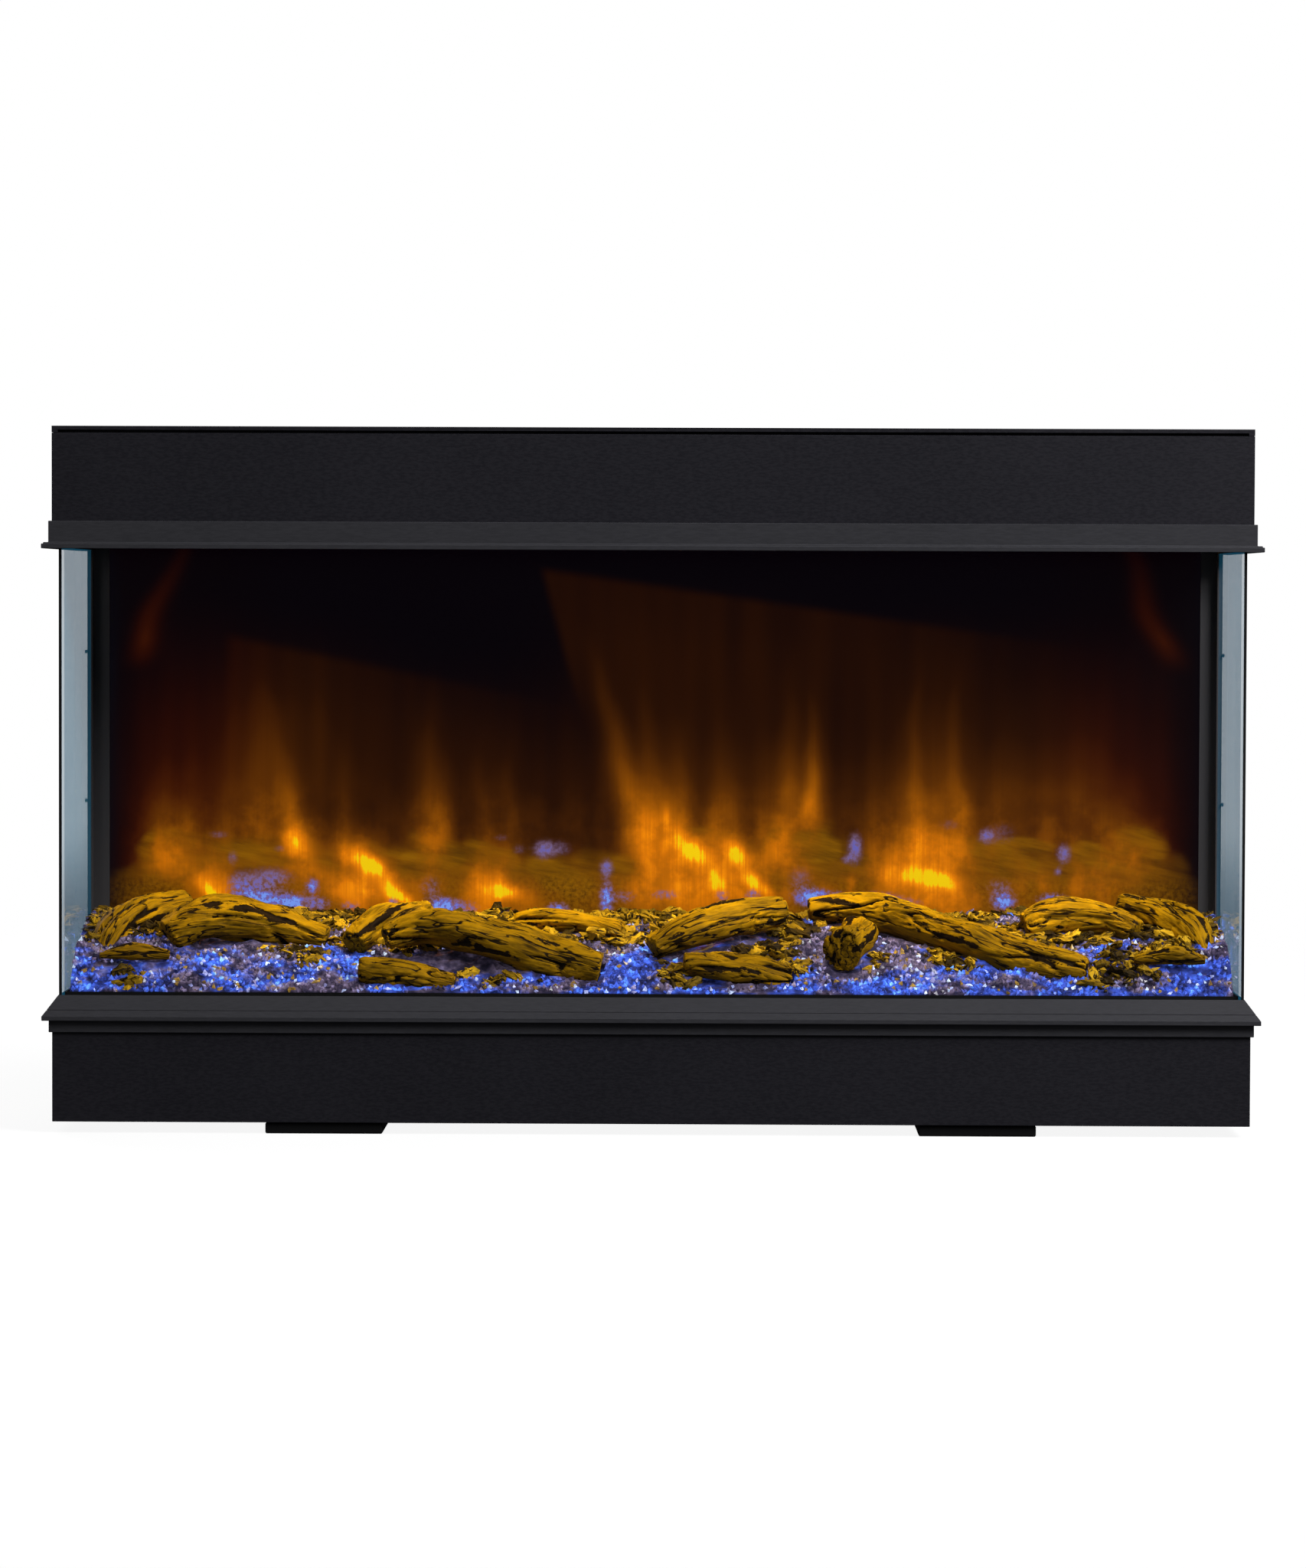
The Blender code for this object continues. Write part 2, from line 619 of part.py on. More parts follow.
def build_top_cover():
    """Lid with a short hem over a shadow gap in front, deep cheeks at its ends and air slots."""
    under = CASING_HEIGHT - SHEET
    cover = box("top_cover", (-HALF_WIDTH, 0, under), (HALF_WIDTH, REAR_FACE, CASING_HEIGHT),
                BLACK_STEEL)
    hem = box_rings((-HALF_WIDTH, 0, CASING_HEIGHT - COVER_HEM), (HALF_WIDTH, SHEET, CASING_HEIGHT))
    cheeks = []
    for side in (-1, 1):
        outer = side * HALF_WIDTH
        inner = side * (HALF_WIDTH - SHEET)
        turn = side * (HALF_WIDTH - COVER_CORNER_RETURN)
        outline = ((outer, 0), (outer, SHELL_REAR), (inner, SHELL_REAR), (inner, SHEET),
                   (turn, SHEET), (turn, 0))
        cheeks.append(prism_rings(outline, "Z", UPPER_WALL_TOP + GAP, CASING_HEIGHT))
    step = -COVER_DOWNSTAND_INSET
    downstand = ((step, CASING_HEIGHT), (step, UPPER_WALL_TOP + GAP),
                 (step - SHEET, UPPER_WALL_TOP + GAP), (step - SHEET, CASING_HEIGHT))
    join(cover, [hem])
    join(cover, cheeks)
    join(cover, [round_rings(downstand, SHELL_REAR)])
    rear = REAR_FACE - COVER_SLOT_REAR
    slots = [box_rings((middle - COVER_SLOT_WIDTH / 2, rear - COVER_SLOT_LENGTH, under - OVERRUN),
                       (middle + COVER_SLOT_WIDTH / 2, rear, CASING_HEIGHT + OVERRUN))
             for middle in spread(COVER_SLOTS, COVER_SLOT_PITCH)]
    cut(cover, slots)


def build_back_panel():
    """Rear sheet with two pressed ribs that meet the wall, keyholes in them, and air slots."""
    half = HALF_WIDTH
    path = [(half, PANEL_REAR)]
    for side in (1, -1):
        edges = (side * WALL_RIB_OFFSET + WALL_RIB_WIDTH / 2, side * WALL_RIB_OFFSET - WALL_RIB_WIDTH / 2)
        path += [(edges[0] + WALL_RIB_SLOPE, PANEL_REAR), (edges[0], REAR_FACE),
                 (edges[1], REAR_FACE), (edges[1] - WALL_RIB_SLOPE, PANEL_REAR)]
    path.append((-half, PANEL_REAR))
    top = CASING_HEIGHT - SHEET - GAP
    panel = prism("back_panel", fold(path, SHEET), "Z", 0, top, BLACK_STEEL)
    holes = []
    for level in (WHEEL_LEVEL, BACK_SLOT_LEVEL):
        for offset in spread(BACK_SLOTS, BACK_SLOT_PITCH):
            holes.append(box_rings(
                (offset - BACK_SLOT_WIDTH / 2, PANEL_FRONT - OVERRUN, level - BACK_SLOT_HEIGHT / 2),
                (offset + BACK_SLOT_WIDTH / 2, PANEL_REAR + OVERRUN, level + BACK_SLOT_HEIGHT / 2)))
    hole = GROMMET_RADIUS + GAP
    span = ((PANEL_FRONT - OVERRUN, hole), (REAR_FACE + OVERRUN, hole))
    holes.append(turned_rings(span, "Y", (GROMMET_X, GROMMET_LEVEL)))
    cut(panel, holes)
    for side in (-1, 1):
        middle = side * WALL_RIB_OFFSET
        outline = keyhole_outline(middle, CASING_HEIGHT - KEYHOLE_DROP)
        cut(panel, [prism_rings(outline, "Y", PANEL_FRONT - OVERRUN, REAR_FACE + OVERRUN)])


def keyhole_outline(middle, level, steps=12):
    """A round hole with a narrower slot over it, as one closed outline."""
    meet = math.asin(KEYHOLE_SLOT_RADIUS / KEYHOLE_RADIUS)
    points = []
    for index in range(steps + 1):
        angle = math.pi / 2 + meet + (math.tau - 2 * meet) * index / steps
        points.append((middle + KEYHOLE_RADIUS * math.cos(angle), level + KEYHOLE_RADIUS * math.sin(angle)))
    for index in range(steps // 2 + 1):
        angle = math.tau / 2 * index / (steps // 2)
        points.append((middle + KEYHOLE_SLOT_RADIUS * math.cos(angle),
                       level + KEYHOLE_RISE + KEYHOLE_SLOT_RADIUS * math.sin(angle)))
    return points


def build_feet():
    """Flat moulded runners under the pan, grooved across their undersides for grip."""
    for name, side in (("left_foot", -1), ("right_foot", 1)):
        middle = side * (HALF_WIDTH - FOOT_INSET - FOOT_WIDTH / 2)
        half = FOOT_WIDTH / 2
        front = FOOT_SETBACK
        foot = box(name, (middle - half, front, -FOOT_HEIGHT), (middle + half, SHELL_REAR, -GAP),
                   FOOT_RUBBER)
        soften(foot, FOOT_EDGE)
        length = SHELL_REAR - front
        grooves = []
        for offset in spread(FOOT_GROOVES, length / (FOOT_GROOVES + 1)):
            y = front + length / 2 + offset
            grooves.append(box_rings(
                (middle - half - OVERRUN, y - FOOT_GROOVE_WIDTH / 2, -FOOT_HEIGHT - OVERRUN),
                (middle + half + OVERRUN, y + FOOT_GROOVE_WIDTH / 2, -FOOT_HEIGHT + FOOT_GROOVE_DEPTH)))
        cut(foot, grooves)


def build_lower_trim():
    """Extruded surround: a band, a lip and a sloped sill that runs up to the glass."""
    sill_edge = -(GLASS_SETBACK - GAP)
    run = LIP_REACH - sill_edge
    share = SILL_GROOVE_SHARE
    half = SILL_GROOVE_WIDTH / 2
    slope = math.atan2(SILL_RISE, -run)
    centre = Vector((LIP_REACH - run * share, SILL_FOOT + SILL_RISE * share))
    along = Vector((math.cos(slope), math.sin(slope)))
    inward = Vector((-along.y, along.x))
    groove = [centre - along * half, centre + inward * SILL_GROOVE_DEPTH, centre + along * half]
    back = SILL_TOP - SILL_SKIN - (GAP - sill_edge) * SILL_RISE / run
    outline = [(GAP, LOWER_BAND_LEVEL), (BAND_REACH, LOWER_BAND_LEVEL), (BAND_REACH, LIP_LEVEL),
               (LIP_REACH, LIP_LEVEL), (LIP_REACH, SILL_FOOT)]
    outline += [tuple(point) for point in groove]
    outline += [(sill_edge, SILL_TOP), (sill_edge, SILL_TOP - SILL_SKIN), (GAP, back)]
    trim = led_round("lower_trim", outline, SHELL_REAR, TRIM_BLACK)
    soften(trim)


def build_upper_trim():
    """Extruded surround: a band with a stepped lip at its foot."""
    step_top = HEAD_LIP_TOP + LIP_STEP_HEIGHT
    step_reach = LIP_REACH - LIP_STEP_DEPTH
    outline = ((GAP, HEAD_LEVEL), (LIP_REACH, HEAD_LEVEL), (LIP_REACH, HEAD_LIP_TOP),
               (step_reach, HEAD_LIP_TOP), (step_reach, step_top), (BAND_REACH, step_top),
               (BAND_REACH, HEAD_BAND_TOP), (GAP, HEAD_BAND_TOP))
    trim = led_round("upper_trim", outline, SHELL_REAR, TRIM_BLACK)
    soften(trim)


def channel_outline(web, leg_tip, outer_tip, inner_edge, turn):
    """A glazing channel's section. Turn is 1 with its legs up and -1 with its legs down."""
    far = web + turn * SHEET
    edge = SHEET + GAP
    outer_leg = GLASS_SETBACK - GAP
    outline = [(-edge, web), (-edge, far), (-(outer_leg - SHEET), far), (-(outer_leg - SHEET), outer_tip),
               (-outer_leg, outer_tip), (-outer_leg, far), (-LEG_INNER, far), (-LEG_INNER, leg_tip),
               (-CHANNEL_INNER, leg_tip)]
    if inner_edge > CHANNEL_INNER:
        outline += [(-CHANNEL_INNER, far), (-inner_edge, far)]
    return outline + [(-inner_edge, web)]


def build_glass_channels():
    floor = channel_outline(CHANNEL_FLOOR, SILL_TOP + CHANNEL_CREST,
                            CHANNEL_FLOOR + SHEET + CHANNEL_OUTER_LEG, CHANNEL_INNER, 1)
    led_round("lower_glass_channel", floor, PANE_REAR, TRIM_BLACK)
    head = channel_outline(WEB_LEVEL + SHEET, HEAD_LEVEL + UPPER_LEG_RECESS,
                           HEAD_LEVEL + UPPER_OUTER_RECESS, FLANGE, -1)
    channel = led_round("upper_glass_channel", head, PANE_REAR, TRIM_BLACK)
    cut(channel, [box_rings((-OUTLET_HALF, -OVERRUN, HEAD_LEVEL - OVERRUN),
                            (OUTLET_HALF, OUTLET_REAR, WEB_LEVEL + SHEET + OVERRUN))])


def build_glass():
    half = SIDE_PANE_FACE - CORNER_SEAL - GAP
    pane = box("front_glass", (-half, PANE_FACE, PANE_BASE), (half, PANE_INNER, PANE_TOP),
               TOUGHENED_GLASS)
    soften(pane)
    for word, side in (("left", -1), ("right", 1)):
        near = side * (SIDE_PANE_FACE - GLASS)
        far = side * SIDE_PANE_FACE
        pane = box(f"{word}_side_glass", (min(near, far), LEG_INNER, PANE_BASE),
                   (max(near, far), PANE_REAR, PANE_TOP), TOUGHENED_GLASS)
        soften(pane)
        edge = side * (SIDE_PANE_FACE - CORNER_SEAL)
        box(f"{word}_corner_seal", (min(edge, far), PANE_FACE, PANE_BASE),
            (max(edge, far), PANE_INNER, PANE_TOP), SEAL_RUBBER)


def build_pillars():
    """Folded corner posts that carry the upper casing and stop the side panes' rear edges."""
    top = UPPER_WALL_TOP - SHEET - GAP
    for word, side in (("left", -1), ("right", 1)):
        outer = side * SIDE_PANE_FACE
        inner = side * (SIDE_PANE_FACE - PILLAR_WIDTH)
        path = ((outer, SHELL_REAR), (outer, PILLAR_FRONT), (inner, PILLAR_FRONT))
        pillar = prism(f"{word}_rear_pillar", fold(path, -side * SHEET), "Z", PAN_FLOOR, top,
                       INNER_BLACK)
        stop_far = side * (CHAMBER_HALF - GAP)
        stop_near = side * (CHAMBER_HALF - GAP - SHEET)
        join(pillar, [box_rings(
            (min(stop_near, stop_far), PILLAR_FRONT - PILLAR_STOP, SILL_TOP + CHANNEL_CREST + GAP),
            (max(stop_near, stop_far), PILLAR_FRONT + SHEET, HEAD_LEVEL + UPPER_LEG_RECESS - GAP))])


def build_flame_screen():
    half = SIDE_PANE_FACE - SCREEN_MARGIN
    screen = box("flame_screen", (-half, SCREEN_FRONT, LOWER_WALL_TOP),
                 (half, SCREEN_FRONT + SCREEN, CEILING_LEVEL - GAP), SCREEN_ACRYLIC)
    soften(screen)


def build_light_trough():
    """Folded trough on the back panel that carries the flame lights and the spindle."""
    path = ((TROUGH_FRONT, TROUGH_LEVEL + TROUGH_FRONT_RISE), (TROUGH_FRONT, TROUGH_LEVEL),
            (SHELL_REAR, TROUGH_LEVEL), (SHELL_REAR, TROUGH_LEVEL + TROUGH_REAR_RISE))
    trough = prism("light_trough", fold(path, SHEET), "X", -TROUGH_HALF, TROUGH_HALF, ZINC)
    soften(trough)


def build_flame_mask():
    """Thin plate with flame-shaped cut-outs, standing in the trough behind the screen."""
    front = TROUGH_FRONT + SHEET + GAP
    base = TROUGH_FLOOR
    half = TROUGH_HALF - MASK_SETBACK
    mask = box("flame_mask", (-half, front, base), (half, front + MASK_SHEET, base + MASK_HEIGHT),
               REFLECTOR)
    flames = []
    pitch = 2 * (half - MASK_END) / (MASK_FLAMES - 1)
    for index, middle in enumerate(spread(MASK_FLAMES, pitch)):
        lean = -1 if index % 2 else 1
        outline = [(middle + lean * across * MASK_FLAME_WIDTH,
                    base + MASK_FLAME_BASE + up * MASK_FLAME_HEIGHT) for across, up in FLAME_SHARES]
        flames.append(prism_rings(outline, "Y", front - OVERRUN, front + MASK_SHEET + OVERRUN))
    cut(mask, flames)


def blade_outline():
    """S-shaped strip through the spindle's axis, in the plane across it."""
    arm = [(across * BLADE_REACH, rise * BLADE_REACH) for across, rise in BLADE_BEND_SHARES]
    return fold(arm + [(-x, -y) for x, y in arm[-2::-1]], BLADE_SHEET)


def build_flame_spindle():
    """Rod with bent reflector strips, each turned on from the last, drawn about its own axis."""
    rod = [turned_rings(((-SPINDLE_HALF, SPINDLE_ROD_RADIUS), (SPINDLE_HALF, SPINDLE_ROD_RADIUS)),
                        "X", (0, 0), 12)]
    spindle = add_object("flame_spindle", mesh_of_rings("flame_spindle", rod), REFLECTOR,
                         (0, SPINDLE_Y, SPINDLE_LEVEL))
    outline = blade_outline()
    pitch = 2 * (FLAME_BOARD_HALF - BLADE_WIDTH) / (SPINDLE_BLADES - 1)
    blades = []
    for index, middle in enumerate(spread(SPINDLE_BLADES, pitch)):
        turn = Matrix.Rotation(math.radians(BLADE_TWIST_DEG) * index, 2)
        turned = [tuple(turn @ Vector(point)) for point in outline]
        blades.append(prism_rings(turned, "X", middle - BLADE_WIDTH / 2, middle + BLADE_WIDTH / 2))
    helper = join(spindle, blades)
    helper.location = spindle.location
    smooth(spindle)


def build_spindle_motor():
    """Geared motor at the spindle's right end, with the blind bore that its rod turns in."""
    centre = (SPINDLE_Y, SPINDLE_LEVEL)
    face = SPINDLE_HALF - MOTOR_BOSS_LENGTH
    can = face + MOTOR_BOSS_LENGTH
    profile = ((face, MOTOR_BOSS_RADIUS), (can, MOTOR_BOSS_RADIUS), (can, MOTOR_RADIUS),
               (can + MOTOR_LENGTH, MOTOR_RADIUS))
    motor = add_object("spindle_motor",
                       mesh_of_rings("spindle_motor", [turned_rings(profile, "X", centre)]), MOTOR_STEEL)
    join(motor, [box_rings((can, SPINDLE_Y - MOTOR_FOOT_WIDTH / 2, TROUGH_FLOOR),
                           (can + MOTOR_LENGTH, SPINDLE_Y + MOTOR_FOOT_WIDTH / 2, SPINDLE_LEVEL))])
    bore = SPINDLE_ROD_RADIUS + SHAFT_CLEARANCE
    cut(motor, [turned_rings(((face - OVERRUN, bore), (can + SHEET, bore)), "X", centre)])


def build_spindle_bearing():
    """Folded bracket with a bush that carries the spindle's left end."""
    plate = -SPINDLE_HALF + BUSH_LENGTH / 2
    path = ((plate + BRACKET_FOOT, TROUGH_FLOOR), (plate, TROUGH_FLOOR),
            (plate, SPINDLE_LEVEL + BRACKET_RISE))
    bracket = prism("spindle_bearing", fold(path, -SHEET), "Y", SPINDLE_Y - BRACKET_WIDTH / 2,
                    SPINDLE_Y + BRACKET_WIDTH / 2, ZINC)
    centre = (SPINDLE_Y, SPINDLE_LEVEL)
    span = (-SPINDLE_HALF - GAP, -SPINDLE_HALF + BUSH_LENGTH)
    join(bracket, [turned_rings([(along, BUSH_RADIUS) for along in span], "X", centre)])
    bore = SPINDLE_ROD_RADIUS + SHAFT_CLEARANCE
    ends = (span[0] - OVERRUN, span[1] + OVERRUN)
    cut(bracket, [turned_rings([(along, bore) for along in ends], "X", centre)])


def light_board(name, centre, size, count, rise):
    """A strip board with a row of lights on its upper side, or on its lower with rise at -1."""
    x, y, level = centre
    length, width = size
    low = (x - length / 2, y - width / 2, min(level, level + rise * BOARD))
    high = (x + length / 2, y + width / 2, max(level, level + rise * BOARD))
    board = box(name, low, high, BOARD_WHITE)
    face = level + rise * BOARD
    lamps = []
    for offset in spread(count, length / count):
        ends = sorted((face - rise * BOARD / 2, face + rise * LED_HEIGHT))
        lamps.append(box_rings((x + offset - LED_WIDTH / 2, y - LED_WIDTH / 2, ends[0]),
                               (x + offset + LED_WIDTH / 2, y + LED_WIDTH / 2, ends[1])))
    join(board, lamps)


def build_light_boards():
    light_board("flame_light_board", (0, SPINDLE_Y, TROUGH_FLOOR),
                (2 * FLAME_BOARD_HALF, FLAME_BOARD_WIDTH), FLAME_LEDS, 1)
    light_board("chamber_light_board", (0, CEILING_BOARD_SETBACK, CEILING_LEVEL - GAP),
                (2 * (CHAMBER_HALF - CEILING_BOARD_END), CEILING_BOARD_WIDTH), CEILING_LEDS, -1)
    length = CHAMBER_HALF - EMBER_BOARD_END - EMBER_BOARD_PARTING
    centre = PANE_REAR / 2
    for word, side in (("left", -1), ("right", 1)):
        middle = side * (EMBER_BOARD_PARTING + length / 2)
        light_board(f"{word}_ember_light_board", (middle, centre, EMBER_BOARD_LEVEL),
                    (length, EMBER_BOARD_WIDTH), EMBER_LEDS, 1)
        half = RAIL_WIDTH / 2
        rest = PAN_FLOOR + SHEET
        top = EMBER_BOARD_LEVEL - GAP
        path = ((-half - RAIL_FOOT, rest), (-half, rest), (-half, top), (half, top), (half, rest),
                (half + RAIL_FOOT, rest))
        outline = [(middle + x, z) for x, z in fold(path, -SHEET)]
        rail = prism(f"{word}_board_rail", outline, "Y", centre - EMBER_BOARD_WIDTH / 2,
                     centre + EMBER_BOARD_WIDTH / 2, ZINC)
        soften(rail)


def build_fuel_bed_tray():
    half = HALF_WIDTH - CHANNEL_INNER - GAP
    front = CHANNEL_INNER + GAP
    base = CHANNEL_FLOOR
    tray = box("fuel_bed_tray", (-half, front, base), (half, PANE_REAR, base + TRAY_HEIGHT),
               TRAY_ACRYLIC)
    cut(tray, [box_rings((-half + TRAY_WALL, front + TRAY_WALL, base + TRAY_WALL),
                         (half - TRAY_WALL, PANE_REAR - TRAY_WALL, base + TRAY_HEIGHT + OVERRUN))])


def curve_through(points, spans):
    """Points of a smooth curve through the given points, with their radii."""
    ends = [points[0]] + list(points) + [points[-1]]
    result = []
    for first, start, end, last in zip(ends, ends[1:], ends[2:], ends[3:]):
        for step in range(spans):
            t = step / spans
            result.append(0.5 * (2 * start + (end - first) * t
                                 + (2 * first - 5 * start + 4 * end - last) * t ** 2
                                 + (3 * start - first - 3 * end + last) * t ** 3))
    return result + [points[-1]]


def log_rings(shares, seed, extra):
    """Rings of a gnarled log. Extra makes it fatter and longer, to cut its bed."""
    centres = [Vector((x * CHAMBER_HALF, y * PANE_REAR, SILL_TOP + z * LOG_PILE_HEIGHT, r * LOG_RADIUS))
               for x, y, z, r in shares]
    line = curve_through(centres, LOG_RINGS_PER_SPAN)
    rings = []
    for index, point in enumerate(line):
        before = line[max(index - 1, 0)].xyz
        after = line[min(index + 1, len(line) - 1)].xyz
        run = (after - before).normalized()
        side = run.cross(Vector((0, 0, 1))).normalized()
        up = side.cross(run)
        middle = point.xyz
        if index == 0:
            middle = middle - run * extra
        if index == len(line) - 1:
            middle = middle + run * extra
        ring = []
        for corner in range(LOG_SIDES):
            angle = math.tau * corner / LOG_SIDES
            knot = 1 + sum(depth * math.sin(lobes * angle + seed * shift + index * turn)
                           for lobes, depth, turn, shift in LOG_KNOT_SHARES)
            reach = point.w * knot + extra
            ring.append(tuple(middle + side * (reach * math.cos(angle)) + up * (reach * math.sin(angle))))
        rings.append(ring)
    return rings


def build_logs():
    for seed, (name, shares) in enumerate(LOG_SHARES.items()):
        log = add_object(name, mesh_of_rings(name, [log_rings(shares, seed, 0)], True), DRIFTWOOD)
        smooth(log)


def bed_height(x_share, y_share):
    """Height of the crystals over the sill, from the profile, the raised ends and ripples."""
    bank = blend_shares(BED_PROFILE_SHARES, y_share)
    end = max(0, (abs(x_share) - 1 + BED_END_SHARE) / BED_END_SHARE)
    ripple = sum(math.sin(along * x_share + back * y_share + phase)
                 for along, back, phase in BED_RIPPLE_SHARES)
    lift = BED_END_RISE * end * min(1, y_share / BED_END_SETTLE_SHARE) * (1 - y_share)
    settled = min(1, y_share / BED_SETTLE_SHARE)
    return BED_FRONT_HEIGHT + BED_RISE * bank + lift + BED_RIPPLE * ripple * settled


def build_crystal_bed():
    """Heap of crystals in the tray, hollowed where each log lies in it."""
    half = HALF_WIDTH - CHANNEL_INNER - 2 * GAP - TRAY_WALL
    front = CHANNEL_INNER + 2 * GAP + TRAY_WALL
    rear = PANE_REAR - TRAY_WALL - GAP
    base = CHANNEL_FLOOR + TRAY_WALL + GAP
    points = []
    for level_row in (True, False):
        for row in range(BED_ROWS + 1):
            v = row / BED_ROWS
            for column in range(BED_COLUMNS + 1):
                u = 2 * column / BED_COLUMNS - 1
                level = SILL_TOP + bed_height(u, v) if level_row else base
                points.append((u * half, front + (rear - front) * v, level))
    across = BED_COLUMNS + 1
    under = across * (BED_ROWS + 1)
    faces = []
    for row in range(BED_ROWS):
        for column in range(BED_COLUMNS):
            low = row * across + column
            faces.append((low, low + 1, low + across + 1, low + across))
    rim = list(range(across)) + [row * across + BED_COLUMNS for row in range(1, BED_ROWS + 1)]
    rim += [BED_ROWS * across + column for column in range(BED_COLUMNS - 1, -1, -1)]
    rim += [row * across for row in range(BED_ROWS - 1, 0, -1)]
    for first, second in zip(rim, rim[1:] + rim[:1]):
        faces.append((first, second, under + second, under + first))
    faces.append(tuple(under + index for index in rim))
    used = set(rim)
    keep = list(range(under)) + [under + index for index in sorted(used)]
    place = {old: new for new, old in enumerate(keep)}
    faces = [tuple(place[index] for index in face) for face in faces]
    bed = add_object("crystal_bed", mesh_of("crystal_bed", [points[index] for index in keep], faces),
                     CRYSTAL)
    cut(bed, [log_rings(shares, seed, GAP) for seed, shares in enumerate(LOG_SHARES.values())], True)


def build_chamber_ceiling():
    """Black plate over the chamber, notched at the rear round the pillars."""
    half = HALF_WIDTH - GLASS_SETBACK - SHEET
    ceiling = box("chamber_ceiling", (-half, DUCT_FLOOR_FRONT, CEILING_LEVEL),
                  (half, SHELL_REAR, CEILING_LEVEL + SHEET), INNER_BLACK)
    notches = []
    for side in (-1, 1):
        inner = side * (SIDE_PANE_FACE - PILLAR_WIDTH - GAP)
        outer = side * (HALF_WIDTH + OVERRUN)
        notches.append(box_rings((min(inner, outer), PANE_REAR, CEILING_LEVEL - OVERRUN),
                                 (max(inner, outer), CASING_DEPTH, CEILING_LEVEL + SHEET + OVERRUN)))
    cut(ceiling, notches)


def scroll_path():
    """Rear wall of the blower, widening from its start round to the flat floor of the outlet."""
    start = math.radians(SCROLL_START_DEG)
    low = WHEEL_RADIUS + SCROLL_START_CLEARANCE
    high = SCROLL_FLOOR_REACH
    path = []
    for step in range(SCROLL_STEPS + 1):
        share = step / SCROLL_STEPS
        angle = start - (start + math.pi / 2) * share
        reach = low + (high - low) * share
        path.append((WHEEL_Y + reach * math.cos(angle), WHEEL_LEVEL + reach * math.sin(angle)))
    return path + [(HOUSING_FRONT, WHEEL_LEVEL - high)]


def build_blower_housing():
    """Scroll, tongue and end plates of the cross-flow blower, as one folded and welded piece."""
    half = HOUSING_HALF
    inner_half = half - SHEET
    housing = prism("blower_housing", fold(scroll_path(), SHEET), "X", -half + SHEET / 2,
                    half - SHEET / 2, ZINC)
    tongue = ((HOUSING_FRONT, TONGUE_LEVEL), (HOUSING_FRONT + TONGUE_LENGTH, TONGUE_LEVEL),
              (HOUSING_FRONT + TONGUE_LENGTH + TONGUE_TIP / 2, TONGUE_LEVEL - TONGUE_DROP))
    join(housing, [prism_rings(fold(tongue, -SHEET), "X", -half + SHEET / 2, half - SHEET / 2)])
    for side in (-1, 1):
        ends = sorted((side * inner_half, side * half))
        join(housing, [box_rings((ends[0], HOUSING_FRONT, UPPER_FLOOR),
                                 (ends[1], HOUSING_REAR, HOUSING_TOP))])
        bore = STUB_RADIUS + SHAFT_CLEARANCE
        cut(housing, [turned_rings(((ends[0] - OVERRUN, bore), (ends[1] + OVERRUN, bore)), "X",
                                   (WHEEL_Y, WHEEL_LEVEL))])


def wheel_blade_outline(turn):
    """Curved blade between the wheel's inner and outer radii, in the plane across its axis."""
    lead = math.radians(WHEEL_BLADE_LEAD_DEG)
    inner = Vector((WHEEL_INNER_RADIUS, 0))
    outer = Matrix.Rotation(lead, 2) @ Vector((WHEEL_RADIUS - WHEEL_BLADE_SHEET, 0))
    chord = outer - inner
    bow = Vector((chord.y, -chord.x)) * WHEEL_BLADE_BOW_SHARE
    path = [inner, (inner + outer) / 2 + bow, outer]
    rotation = Matrix.Rotation(turn, 2)
    return fold([tuple(rotation @ point) for point in path], WHEEL_BLADE_SHEET)


def build_blower_wheel():
    """Cross-flow wheel: three discs, a ring of curved blades and a stub at each end."""
    discs = []
    reach = WHEEL_HALF
    for place in (-reach + WHEEL_DISC, 0, reach - WHEEL_DISC):
        discs.append(turned_rings(((place - WHEEL_DISC / 2, WHEEL_RADIUS + WHEEL_BLADE_SHEET),
                                   (place + WHEEL_DISC / 2, WHEEL_RADIUS + WHEEL_BLADE_SHEET)),
                                  "X", (0, 0)))
    wheel = add_object("blower_wheel", mesh_of_rings("blower_wheel", discs), DARK_PLASTIC,
                       (0, WHEEL_Y, WHEEL_LEVEL))
    blades = [prism_rings(wheel_blade_outline(math.tau * index / WHEEL_BLADES), "X",
                          -reach + WHEEL_DISC, reach - WHEEL_DISC) for index in range(WHEEL_BLADES)]
    helper = join(wheel, blades)
    helper.location = wheel.location
    stubs = []
    for side in (-1, 1):
        ends = sorted((side * (reach - WHEEL_DISC), side * (reach + STUB_LENGTH)))
        stubs.append(turned_rings(((ends[0], STUB_RADIUS), (ends[1], STUB_RADIUS)), "X", (0, 0), 12))
    helper = join(wheel, stubs)
    helper.location = wheel.location


def build_blower_motor():
    """Laminated stack with its coil, outside the housing's left end plate."""
    near = -(HOUSING_HALF + GAP)
    far = near - STACK_LENGTH
    half = STACK_WIDTH / 2
    stack = box("blower_motor", (far, WHEEL_Y - half, WHEEL_LEVEL - half),
                (near, WHEEL_Y + half, WHEEL_LEVEL + half), MOTOR_STEEL)
    soften(stack)
    coil = turned_rings(((WHEEL_Y - COIL_LENGTH / 2, COIL_RADIUS), (WHEEL_Y + COIL_LENGTH / 2, COIL_RADIUS)),
                        "Y", ((near + far) / 2, WHEEL_LEVEL - half + STACK_WINDOW / 2))
    join(stack, [coil])
    bore = STUB_RADIUS + SHAFT_CLEARANCE
    cut(stack, [turned_rings(((far - OVERRUN, bore), (near + OVERRUN, bore)), "X",
                             (WHEEL_Y, WHEEL_LEVEL))])


